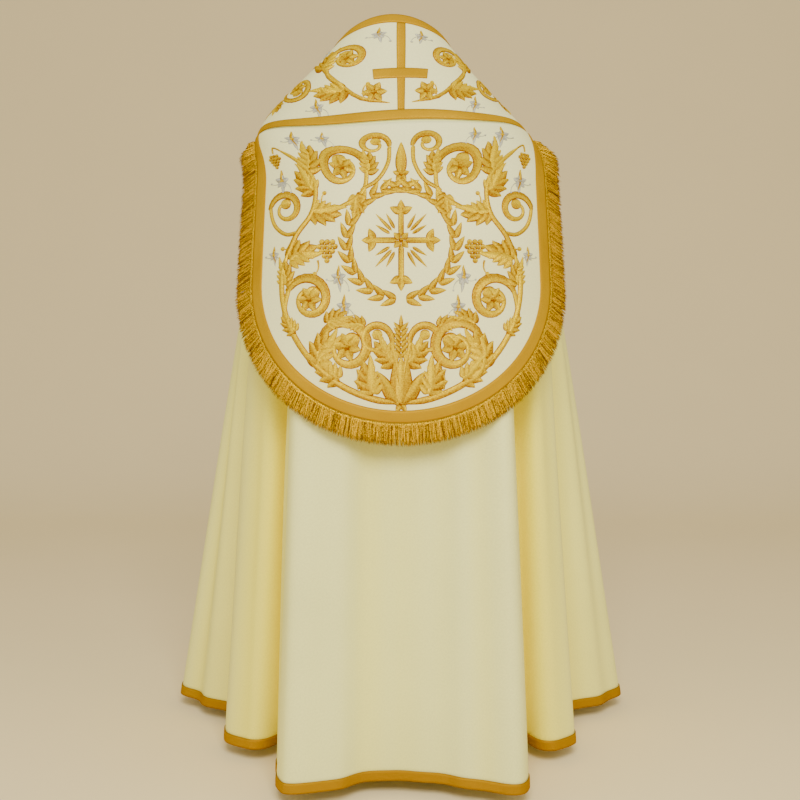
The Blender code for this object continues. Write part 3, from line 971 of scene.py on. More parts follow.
@dataclass(frozen=True)
class Band:
    """The ivory band on the straight edge, with its galloons and the plain cross at the back."""

    form: CloakForm
    columns: int = 560
    width: float = 0.24
    face: float = 0.0021
    wall: float = 0.0012
    trim: float = 0.021
    trim_face: float = 0.0036
    trim_wall: float = 0.0012
    bar_half: float = 0.0068
    bar_clear: float = 0.001
    arm_half: float = 0.0445
    arm_from: float = 0.133
    arm_to: float = 0.154
    even: float = 0.72
    trim_crown: float = 0.0005
    arm_lift: float = 0.0007
    arm_crown: float = 0.0006

    def end(self, q: Array) -> Array:
        """Return how far the straight edge runs to the hem at a place across the band."""
        long_half = math.hypot(self.form.cloth_depth, self.form.neck_half)
        return long_half * np.sqrt(1 - (q / self.form.cloth_depth) ** 2)

    def strip(
        self, name: str, rows: int, q_from: float, q_to: float, face: float, crown: float, wall: float
    ) -> bpy.types.Object:
        """Lay a strip along the whole straight edge.

        Args:
            name: the piece's name.
            rows: faces across it.
            q_from: its edge nearer the neck.
            q_to: its other edge.
            face: height of its face above the cloak.
            crown: how much its middle stands higher.
            wall: its thickness.

        Returns:
            The strip.
        """

        def lay(s: Array, t: Array) -> Laid:
            """Lay the strip, with closer columns at the back.

            Args:
                s: places across the grid, -1 to 1.
                t: places up the grid, -1 to 1.

            Returns:
                The laid grid.
            """
            q = q_from + (q_to - q_from) * (1 - t) / 2
            spread = self.even * s + (1 - self.even) * s**3
            p = spread * self.end(q)
            middle = t * (q_to - q_from) / 2
            return Laid(self.form.on_flat(p, q, face + crown * (1 - t**4)), np.stack([p, middle], axis=1))

        piece = lay_grid(name, self.columns, rows, lay)
        thicken(piece, wall)
        return piece

    def bar(self, name: str, p_half: float, q_from: float, q_to: float, upright: bool) -> bpy.types.Object:
        """Lay one plain strip of the cross on the band's back.

        Args:
            name: the piece's name.
            p_half: half its size across the back.
            q_from: its upper edge.
            q_to: its lower edge.
            upright: whether it runs down the back.

        Returns:
            The strip.
        """

        def lay(s: Array, t: Array) -> Laid:
            """Lay the strip on the band.

            Args:
                s: places across the grid, -1 to 1.
                t: places up the grid, -1 to 1.

            Returns:
                The laid grid.
            """
            q = q_from + (q_to - q_from) * (1 - t) / 2
            p = s * p_half
            over = s if upright else t
            along, across = (q, p) if upright else (p, q - (q_from + q_to) / 2)
            lift = 0.0 if upright else self.arm_lift
            height = self.trim_face + lift - self.arm_crown * over**4
            return Laid(self.form.on_flat(p, q, height), np.stack([along, across], axis=1))

        columns, rows = (6, 60) if upright else (40, 6)
        piece = lay_grid(name, columns, rows, lay)
        thicken(piece, self.trim_wall)
        return piece

    def build(self, cloth: bpy.types.Material, braid: bpy.types.Material) -> list[bpy.types.Object]:
        """Make the band, its two galloons and the cross.

        Args:
            cloth: the band's twill.
            braid: the galloons' finish.

        Returns:
            The five pieces.
        """
        band = self.strip("band_cloth", 14, 0.0, self.width, self.face, 0.0, self.wall)
        band.data.materials.append(cloth)
        galloon = (self.trim_face, self.trim_crown, self.trim_wall)
        neck = self.strip("neck_braid", 5, 0.0, self.trim, *galloon)
        lower = self.strip("band_braid", 5, self.width - self.trim, self.width, *galloon)
        inner = (self.trim + self.bar_clear, self.width - self.trim - self.bar_clear)
        upright = self.bar("cross_upright", self.bar_half, *inner, True)
        arm = self.bar("cross_arm", self.arm_half, self.arm_from, self.arm_to, False)
        for piece in (neck, lower, upright, arm):
            piece.data.materials.append(braid)
        sewn(band, "ivory_cloth", "orphrey_band")
        sewn(neck, "gold_galloon", "neck_galloon")
        sewn(lower, "gold_galloon", "band_galloon")
        sewn(upright, "gold_galloon", "galloon_cross")
        sewn(arm, "gold_galloon", "galloon_cross")
        return [band, neck, lower, upright, arm]


@dataclass(frozen=True)
class HemEdging:
    """The narrower galloon along the curved hem."""

    form: CloakForm
    width: float = 0.019
    face: float = 0.0020
    wall: float = 0.0012
    crown: float = 0.0003
    from_q: float = 0.246

    def build(self, braid: bpy.types.Material) -> bpy.types.Object:
        """Make the hem's galloon.

        Args:
            braid: its finish.

        Returns:
            The galloon.
        """

        def lay(s: Array, t: Array) -> Laid:
            """Lay the galloon along the curve, from one band to the other.

            Args:
                s: places across the grid, -1 to 1.
                t: places up the grid, -1 to 1.

            Returns:
                The laid grid.
            """
            depth = self.form.cloth_depth - self.width * (1 + t) / 2
            start = np.arcsin(self.from_q / depth)
            angle = math.pi / 2 - s * (math.pi / 2 - start)
            share = self.form.ring_share(depth, angle)
            cloth = np.stack([-angle * self.form.cloth_depth, t * self.width / 2], axis=1)
            return Laid(self.form.lifted(depth, share, self.face + self.crown * (1 - t**4)), cloth)

        piece = lay_grid("hem_braid", 760, 4, lay)
        piece.data.materials.append(braid)
        thicken(piece, self.wall)
        return sewn(piece, "hem_galloon_cloth", "hem_galloon")


@dataclass(frozen=True)
class Hood:
    """The stiff shield with its galloon."""

    form: HoodForm
    face: float = 0.0026
    wall: float = 0.0026
    trim: float = 0.024
    trim_face: float = 0.0043
    trim_wall: float = 0.0014
    trim_dip: float = 0.0008
    trim_half_length: float = 0.80

    def build(self, cloth: bpy.types.Material, braid: bpy.types.Material) -> list[bpy.types.Object]:
        """Make the shield and the galloon round it.

        Args:
            cloth: the shield's twill.
            braid: the galloon's finish.

        Returns:
            The two pieces.
        """

        def lay_shield(s: Array, t: Array) -> Laid:
            """Lay the shield, from its round bottom to its straight top.

            Args:
                s: places across the grid, -1 to 1.
                t: places up the grid, -1 to 1.

            Returns:
                The laid grid.
            """
            turn = s * math.pi / 2
            u = self.form.half * np.sin(turn)
            deep = self.form.side + (self.form.depth - self.form.side) * np.cos(turn)
            v = deep * (1 - t) / 2
            return Laid(self.form.lifted(u, v, self.face), np.stack([u, v], axis=1))

        def lay_trim(s: Array, t: Array) -> Laid:
            """Lay the galloon round the shield's edge.

            Args:
                s: places across the grid, -1 to 1.
                t: places up the grid, -1 to 1.

            Returns:
                The laid grid.
            """
            u, v = self.form.edge(s, self.trim * (1 + t) / 2)
            lift = self.trim_face - self.trim_dip * t**6
            cloth_place = np.stack([s * self.trim_half_length, t * self.trim / 2], axis=1)
            return Laid(self.form.lifted(u, v, lift), cloth_place)

        shield = lay_grid("hood_cloth", 120, 76, lay_shield)
        shield.data.materials.append(cloth)
        thicken(shield, self.wall)
        edging = lay_grid("hood_braid", 300, 6, lay_trim)
        edging.data.materials.append(braid)
        thicken(edging, self.trim_wall)
        sewn(shield, "ivory_cloth", "hood_shield")
        sewn(edging, "gold_galloon", "hood_galloon")
        return [shield, edging]


@dataclass(frozen=True)
class Fringe:
    """Twisted metal-thread strands that hang close together from a strip round the hood."""

    form: HoodForm
    strands: int = 3500
    strip_to: float = 0.009
    length: float = 0.041
    thick: float = 0.0011
    shortest: float = 0.35
    grows_over: float = 0.045
    top: float = 0.006
    sides: int = 4
    bends: int = 4
    seed: int = 7
    nudge: float = 0.002
    droop: float = 0.52
    strip_from: float = 0.0004
    strip_face: float = 0.0028
    strip_crown: float = 0.0008
    strip_wall: float = 0.0022
    strip_half_length: float = 0.8
    lean: float = 0.055
    heap: float = 0.0042
    ripple: float = 0.0012
    tone: float = 0.40
    tone_spread: float = 0.33

    def directions(self, along: Array) -> tuple[Array, Array, Array]:
        """Find where the strands start and which way they fall.

        Args:
            along: places round the edge, -1 at the left top corner to 1 at the right one.

        Returns:
            The edge points, the outward and the falling directions, all in the flat shield.
        """
        spot = np.stack(self.form.edge(along, 0.0), axis=1)
        before = np.stack(self.form.edge(np.clip(along - self.nudge, -1, 1), 0.0), axis=1)
        after = np.stack(self.form.edge(np.clip(along + self.nudge, -1, 1), 0.0), axis=1)
        tangent = after - before
        out = unit(np.stack([-tangent[:, 1], tangent[:, 0]], axis=1))
        fall = unit(out + (0.0, self.droop))
        return spot, out, fall

    def build(self, thread: bpy.types.Material) -> list[bpy.types.Object]:
        """Make the strip and the strands.

        Args:
            thread: their finish.

        Returns:
            The two pieces.
        """
        round_part = (self.form.half + self.form.depth - self.form.side) * math.pi / 4
        edge_length = round_part + self.form.side
        end = 1 - self.top / edge_length

        def lay_strip(s: Array, t: Array) -> Laid:
            """Lay the strip round the shield, just outside its edge.

            Args:
                s: places across the grid, -1 to 1.
                t: places up the grid, -1 to 1.

            Returns:
                The laid grid.
            """
            spot, out, _ = self.directions(s * end)
            reach = self.strip_from + (self.strip_to - self.strip_from) * (1 - t) / 2
            flat = spot + out * reach[:, None]
            cloth = np.stack([s * self.strip_half_length, t * self.strip_to / 2], axis=1)
            marks = {"tone": 0.35 + 0.2 * np.abs(t), "across": 0 * t}
            height = self.strip_face + self.strip_crown * (1 - t * t)
            return Laid(self.form.lifted(*flat.T, height), cloth, marks)

        strip = lay_grid("fringe_strip", 340, 4, lay_strip)
        strip.data.materials.append(thread)
        thicken(strip, self.strip_wall)
        chance = np.random.default_rng(self.seed)
        count = self.strands
        along = np.linspace(-end, end, count)
        spot, out, fall = self.directions(along)
        grown = ease((end - np.abs(along)) * edge_length / self.grows_over)
        uneven = chance.uniform(0.92, 1.03, count)
        lengths = self.length * (self.shortest + (1 - self.shortest) * grown) * uneven
        lean = chance.normal(0, self.lean, count)
        heights = chance.uniform(0.0, self.heap, count)
        tones = np.clip(chance.normal(self.tone, self.tone_spread, count), 0.0, 1.0)
        mesh = bmesh.new()
        add_grids(mesh, self.sides, self.bends, count)
        per = (self.sides + 1) * (self.bends + 1)

        def lay(s: Array, t: Array, _: Array) -> Laid:
            """Roll each grid into a strand that tapers to its tip.

            Args:
                s: places round the strands, -1 to 1.
                t: places up the strands, -1 at the tip.

            Returns:
                The laid grids.
            """
            which = np.arange(len(s)) // per
            down = (1 - t) / 2
            side = np.stack([fall[which, 1], -fall[which, 0]], axis=1)
            path = out[which] * (self.strip_to * 0.55) + fall[which] * (lengths[which] * down)[:, None]
            path += side * (lean[which] * lengths[which] * down**1.4)[:, None]
            radius = self.thick * (1 - 0.25 * down) * np.where(down > 0.999, 0.0, 1.0)
            turn = s * math.pi + which
            flat = spot[which] + path - side * (radius * np.cos(turn))[:, None]
            height = heights[which] + self.ripple * np.sin(which * 2.4) * down + radius * np.sin(turn)
            cloth = np.stack([lengths[which] * down, s * self.thick * math.pi], axis=1)
            marks = {"tone": tones[which], "across": 0 * s}
            return Laid(self.form.lifted(*flat.T, height), cloth, marks)

        hanging = finish_mesh("fringe_strands", mesh, lay, close=True)
        hanging.data.materials.append(thread)
        sewn(strip, "bullion_thread", "hood_fringe")
        sewn(hanging, "bullion_thread", "hood_fringe")
        return [strip, hanging]


# Faces along a long stroke and along a short one
LONG, SHORT = 30, 9

# A lobed leaf's lobes, from its foot up: place along it, lean in degrees, length as a share of the leaf's
LOBES = ((0.02, 78, 0.46), (0.16, 62, 0.52), (0.34, 50, 0.50), (0.54, 36, 0.42))

# Embroidery on the hood, in metres across and down the flat shield. The right half, mirrored to the left.
# Stems: width, how thick the tail stays, then the places they run through.
HOOD_STEMS = (
    (0.015, 0.8, ((0.000, 0.578), (0.060, 0.568), (0.130, 0.538), (0.195, 0.482), (0.238, 0.405),
                  (0.246, 0.325), (0.225, 0.262))),
    (0.013, 0.7, ((0.240, 0.300), (0.218, 0.250), (0.186, 0.205), (0.180, 0.150), (0.208, 0.100),
                  (0.250, 0.060))),
    (0.013, 1.0, ((0.120, 0.545), (0.160, 0.520), (0.170, 0.480), (0.161, 0.448))),
    (0.011, 1.0, ((0.212, 0.458), (0.238, 0.420), (0.238, 0.385), (0.232, 0.360))),
    (0.009, 1.0, ((0.212, 0.244), (0.240, 0.248), (0.264, 0.232), (0.277, 0.200), (0.278, 0.192))),
    (0.010, 1.0, ((0.186, 0.195), (0.165, 0.205), (0.120, 0.192), (0.078, 0.160), (0.071, 0.115))),
    (0.009, 1.0, ((0.085, 0.160), (0.050, 0.140), (0.026, 0.100), (0.023, 0.062))),
    (0.004, 1.0, ((0.240, 0.068), (0.258, 0.058), (0.262, 0.072))),
    (0.010, 1.0, ((0.003, 0.545), (0.009, 0.505), (0.018, 0.468), (0.020, 0.460))),
)
# Scrolls: across, down, radius, start in degrees, turns, width.
HOOD_SCROLLS = (
    (0.110, 0.470, 0.056, 20.0, 1.30, 0.027),
    (0.188, 0.378, 0.049, 15.0, 1.30, 0.024),
    (0.243, 0.196, 0.037, 0.0, 1.25, 0.019),
    (0.122, 0.112, 0.054, 190.0, -1.30, 0.026),
    (0.054, 0.056, 0.032, 190.0, -1.20, 0.018),
    (0.052, 0.456, 0.036, 200.0, -1.25, 0.018),
)
# Lobed leaves: across, down, degrees, length, the side they bend to.
HOOD_LEAVES = (
    (0.055, 0.560, 60.0, 0.070, 1),
    (0.124, 0.530, 20.0, 0.062, 1),
    (0.168, 0.505, 95.0, 0.074, 1),
    (0.214, 0.440, 30.0, 0.044, 1),
    (0.240, 0.350, 100.0, 0.052, -1),
    (0.232, 0.300, 145.0, 0.068, 1),
    (0.186, 0.200, 200.0, 0.066, -1),
    (0.182, 0.160, 35.0, 0.062, 1),
    (0.196, 0.118, 120.0, 0.066, -1),
    (0.095, 0.170, 250.0, 0.050, 1),
    (0.070, 0.125, 110.0, 0.052, -1),
    (0.150, 0.425, 140.0, 0.050, 1),
    (0.014, 0.500, 35.0, 0.060, 1),
    (0.076, 0.430, 25.0, 0.044, -1),
)
# Flowers: across, down, radius, petals, turn.
HOOD_FLOWERS = (
    (0.110, 0.470, 0.029, 6, 10.0),
    (0.188, 0.378, 0.026, 6, 0.0),
    (0.122, 0.112, 0.027, 6, 20.0),
)
# Bunches of grapes: across, down, width.
HOOD_GRAPES = (
    (0.152, 0.265, 0.044),
    (0.262, 0.078, 0.032),
)
# Thin shoots: across, down, degrees, length, width.
HOOD_SHOOTS = (
    (0.085, 0.552, 75.0, 0.048, 0.005),
    (0.214, 0.258, 300.0, 0.040, 0.005),
    (0.172, 0.300, 250.0, 0.030, 0.005),
    (0.160, 0.200, 60.0, 0.036, 0.005),
    (0.236, 0.330, 200.0, 0.026, 0.005),
)
# Silver blossoms: across, down, radius.
HOOD_BLOSSOMS = (
    (0.254, 0.136, 0.016),
    (0.206, 0.040, 0.017),
    (0.116, 0.392, 0.016),
    (0.148, 0.038, 0.014),
    (0.266, 0.290, 0.012),
    (0.128, 0.335, 0.016),
)

# Embroidery on the band beside the cross, the same columns.
BAND_STEMS = (
    (0.010, 0.6, ((0.020, 0.204), (0.070, 0.190), (0.110, 0.140), (0.140, 0.085), (0.185, 0.058),
                  (0.228, 0.085), (0.252, 0.140), (0.298, 0.172), (0.350, 0.140), (0.390, 0.100))),
    (0.009, 1.0, ((0.098, 0.160), (0.118, 0.130), (0.118, 0.098))),
    (0.009, 1.0, ((0.215, 0.072), (0.222, 0.100), (0.220, 0.130), (0.219, 0.136))),
    (0.009, 1.0, ((0.262, 0.155), (0.252, 0.120), (0.254, 0.092))),
)
BAND_SCROLLS = (
    (0.082, 0.096, 0.037, -10.0, 1.25, 0.017),
    (0.184, 0.132, 0.037, 10.0, -1.25, 0.017),
    (0.290, 0.094, 0.037, 180.0, -1.25, 0.013),
)
BAND_LEAVES = (
    (0.094, 0.168, 350.0, 0.060, 1),
    (0.126, 0.110, 100.0, 0.056, 1),
    (0.222, 0.080, 50.0, 0.044, -1),
    (0.245, 0.135, 250.0, 0.050, 1),
    (0.330, 0.158, 30.0, 0.046, 1),
)
BAND_FLOWERS = (
    (0.082, 0.096, 0.021, 6, 0.0),
    (0.184, 0.132, 0.021, 6, 0.0),
    (0.290, 0.094, 0.019, 6, 0.0),
    (0.046, 0.180, 0.022, 6, 0.0),
)
BAND_SHOOTS = (
    (0.064, 0.188, 80.0, 0.030, 0.004),
    (0.165, 0.064, 10.0, 0.034, 0.004),
)
BAND_BLOSSOMS = (
    (0.150, 0.196, 0.014),
    (0.262, 0.050, 0.013),
    (0.130, 0.045, 0.012),
    (0.032, 0.050, 0.012),
)


def ray(degrees: float) -> Array:
    """Return a direction on the flat cloth, 0 to the right and 90 towards the neck."""
    return np.array([math.cos(math.radians(degrees)), -math.sin(math.radians(degrees))])


@dataclass(frozen=True)
class Stroke:
    """One raised stroke of satin stitch: its middle line, its half widths and its shade."""

    path: Array
    half: Array
    tone: float
    crown: float
    # Which side of the stroke gets painted shade, -1 on a mirrored stroke
    side: float = 1.0

    def mirror(self) -> "Stroke":
        """Return the stroke on the other side of the middle."""
        return Stroke(self.path * (-1, 1), self.half, self.tone, self.crown, -self.side)

    def aside(self) -> Array:
        """Return the direction to the stroke's right along its line."""
        along = unit(np.gradient(self.path, axis=0))
        return np.stack([-along[:, 1], along[:, 0]], axis=1)


class Needle:
    """Sews motifs in one thread: each method adds its strokes."""

    def __init__(self, tone: float = 0.2, crown: float = 0.0017) -> None:
        """Start with no strokes, at a usual shade and height."""
        self.strokes: list[Stroke] = []
        self.tone = tone
        self.crown = crown

    def stroke(self, path: Array, half: Array, tone: float = 0.0, crown: float = 1.0) -> None:
        """Add one stroke.

        Args:
            path: its middle line.
            half: its half width at each point of the line.
            tone: how much darker than usual it is.
            crown: its height as a share of the usual one.
        """
        self.strokes.append(Stroke(path, half, self.tone + tone, self.crown * crown))

    def stem(self, width: float, tail: float, spots: tuple[tuple[float, float], ...]) -> None:
        """Sew a stem.

        Args:
            width: how thick it is.
            tail: how thick its end stays, as a share of the width.
            spots: the places that it runs through.
        """
        places = np.array(spots)
        walked = np.concatenate([[0.0], np.cumsum(np.linalg.norm(np.diff(places, axis=0), axis=1))])
        t = np.linspace(0.0, 1.0, LONG + 1)
        half = width / 2 * (1 - (1 - tail) * t) * np.minimum(1.0, 0.3 + 8 * t)
        if tail < 0.9:
            half = half * np.minimum(1.0, 8 * (1 - t) + 0.1)
        self.stroke(through(walked, places, t * walked[-1]), half)

    def scroll(self, x: float, y: float, radius: float, start: float, turns: float, width: float) -> None:
        """Sew a curl that winds inwards to a round eye.

        Args:
            x: its middle, across.
            y: its middle, down.
            radius: where it starts.
            start: the angle where it starts, in degrees.
            turns: how often it winds, less than 0 when clockwise.
            width: at its widest.
        """
        t = np.linspace(0.0, 1.0, LONG + 1)
        angle = np.radians(start) + turns * math.tau * t
        reach = radius * (1 - 0.70 * t**0.85)
        path = np.array((x, y)) + np.stack([reach * np.cos(angle), -reach * np.sin(angle)], axis=1)
        swell = 0.55 + 0.45 * np.sin(math.pi * np.minimum(t * 1.5, 1.0) ** 0.8)
        self.stroke(path, width / 2 * swell * (1 - 0.3 * t) * np.minimum(1.0, 6 * (1.05 - t)))
        self.berry(path[-1], width * 0.62)

    def berry(self, centre: Spot, radius: float, tone: float = -0.1) -> None:
        """Sew a round dot.

        Args:
            centre: its middle.
            radius: its size.
            tone: how much darker it is.
        """
        t = np.linspace(-1.0, 1.0, SHORT + 1)
        path = np.array(centre) + np.stack([t * radius, 0 * t], axis=1)
        self.stroke(path, radius * np.sqrt(np.maximum(1 - t * t, 0.0)) + 1e-5, tone, 0.9)

    def leaf(
        self, base: Spot, degrees: float, length: float, width: float, bend: float = 0.0, tone: float = 0.0,
        steps: int = SHORT,
    ) -> None:
        """Sew one pointed leaf.

        Args:
            base: where it starts.
            degrees: where it points.
            length: from base to tip.
            width: at its widest.
            bend: how far the tip bends to the left, as a share of the length.
            tone: how much darker it is.
            steps: faces along it.
        """
        t = np.linspace(0.0, 1.0, steps + 1)
        curl = bend * length * np.sin(math.pi * t / 1.6) * t
        path = np.array(base) + ray(degrees) * (length * t)[:, None] + ray(degrees + 90) * curl[:, None]
        self.stroke(path, width / 2 * np.sin(math.pi * t**0.62) ** 0.8 + 1e-5, tone)

    def lobed_leaf(self, x: float, y: float, degrees: float, length: float, hand: int) -> None:
        """Sew a bending leaf with lobes along both sides.

        Args:
            x: its foot, across.
            y: its foot, down.
            degrees: where it points.
            length: from foot to tip.
            hand: 1 when it bends to its left, -1 to its right.
        """
        base = np.array((x, y))
        for place, lean, size in LOBES:
            turn = degrees + hand * 60 * place**1.3
            spot = base + ray(degrees + hand * 16 * place) * (length * place)
            self.leaf(spot, turn - hand * lean, length * size, length * 0.31, hand * 0.40, 0.18)
            self.leaf(spot, turn + hand * lean * 0.8, length * size * 0.85, length * 0.27, hand * 0.25, -0.08)
        self.leaf(base, degrees, length * 1.05, length * 0.32, hand * 0.45, -0.2, LONG)

    def flower(self, x: float, y: float, radius: float, petals: int, turn: float) -> None:
        """Sew an open flower.

        Args:
            x: its middle, across.
            y: its middle, down.
            radius: its size.
            petals: how many petals it has.
            turn: where the first petal points, in degrees.
        """
        centre = np.array((x, y))
        for k in range(petals):
            degrees = turn + 360 * k / petals
            self.leaf(centre + ray(degrees) * radius * 0.16, degrees, radius * 0.86, radius * 0.72, 0.0, 0.05)
        self.berry(centre, radius * 0.26, 0.45)

    def wheat(self, x: float, y: float, degrees: float, length: float) -> None:
        """Sew an ear of wheat.

        Args:
            x: its foot, across.
            y: its foot, down.
            degrees: where it points.
            length: from foot to tip.
        """
        base = np.array((x, y))
        for k in range(6):
            spot = base + ray(degrees) * (length * k / 7)
            for side in (-1, 1):
                tone = 0.12 if side > 0 else 0.0
                self.leaf(spot, degrees + side * 30, length * 0.32, length * 0.14, side * 0.2, tone)
        self.leaf(base + ray(degrees) * (length * 0.82), degrees, length * 0.34, length * 0.13)

    def grapes(self, x: float, y: float, width: float) -> None:
        """Sew a bunch of grapes.

        Args:
            x: its upper row's middle, across.
            y: its upper row's middle, down.
            width: of the bunch.
        """
        for row, count in enumerate((3, 4, 3, 2, 1)):
            for k in range(count):
                spot = np.array((x + (k - (count - 1) / 2) * width * 0.25, y + row * width * 0.21))
                self.berry(spot, width * 0.135, 0.14 * ((row + k) % 2))

    def shoot(self, x: float, y: float, degrees: float, length: float, width: float) -> None:
        """Sew a thin curling shoot with a bud.

        Args:
            x: where it starts, across.
            y: where it starts, down.
            degrees: where it sets out to.
            length: along its curve.
            width: at its start.
        """
        t = np.linspace(0.0, 1.0, LONG + 1)
        turn = np.radians(degrees) + 1.3 * t**1.5
        steps = np.stack([np.cos(turn), -np.sin(turn)], axis=1) * (length / LONG)
        path = np.array((x, y)) + np.cumsum(steps, axis=0)
        self.stroke(path, width / 2 * (1 - 0.5 * t))
        self.berry(path[-1], width * 0.95)

    def blossom(self, x: float, y: float, radius: float) -> None:
        """Sew a small hanging blossom with two shoots.

        Args:
            x: its middle, across.
            y: its middle, down.
            radius: its size.
        """
        self.flower(x, y, radius, 5, 18.0)
        self.shoot(x, y, 200.0, radius * 2.2, 0.0024)
        self.shoot(x, y, 320.0, radius * 1.6, 0.0024)
        self.leaf(np.array((x, y)), 250.0, radius * 1.9, radius * 0.6, 0.2)

    def heart(self, x: float, y: float, radius: float) -> None:
        """Sew the heart and the hanging tongue of a blossom.

        Args:
            x: the blossom's middle, across.
            y: the blossom's middle, down.
            radius: the blossom's size.
        """
        self.leaf(np.array((x, y)), 75.0, radius * 1.5, radius * 0.5, 0.3, 0.1)
        self.leaf(np.array((x, y)), 265.0, radius * 1.3, radius * 0.35, -0.2, 0.25)
        self.berry((x, y), radius * 0.3)

    def cross(self, x: float, y: float) -> None:
        """Sew a cross with leafy ends and rays between its arms.

        Args:
            x: its middle, across.
            y: its middle, down.
        """
        centre = np.array((x, y))
        for degrees in (0, 90, 180, 270):
            reach = 0.078 if degrees == 270 else 0.060
            way = ray(degrees)
            self.stem(0.013, 1.0, tuple(tuple(centre + way * part) for part in (0.010, 0.03, reach)))
            for lean in (-66, 66, 0):
                self.leaf(centre + way * (reach - 0.004), degrees + lean, 0.026, 0.018)
        self.flower(x, y, 0.021, 4, 45.0)
        for degrees in (45, 135, 225, 315):
            for lean, size in ((-15, 0.036), (0, 0.050), (15, 0.036)):
                self.leaf(centre + ray(degrees + lean) * 0.026, degrees + lean, size, 0.008, 0.0, 0.1)

    def half_wreath(self, x: float, y: float, radius: float, pairs: int) -> None:
        """Sew the right half of a wreath of paired leaves, from its foot to its top.

        Args:
            x: the wreath's middle, across.
            y: the wreath's middle, down.
            radius: of the wreath.
            pairs: how many pairs of leaves.
        """
        for k in range(pairs):
            degrees = 275 + 178 * k / (pairs - 1)
            spot = np.array((x, y)) + ray(degrees) * radius
            self.leaf(spot, degrees + 64, 0.036, 0.015)
            self.leaf(spot, degrees + 116, 0.036, 0.015, 0.0, 0.15)

    def rows(self, motif: Callable[..., None], table: tuple[tuple, ...]) -> None:
        """Sew one motif for each row of a table."""
        for row in table:
            motif(*row)

    def mirror_from(self, first: int) -> None:
        """Repeat the strokes sewn since then on the other side of the middle."""
        self.strokes += [stroke.mirror() for stroke in self.strokes[first:]]


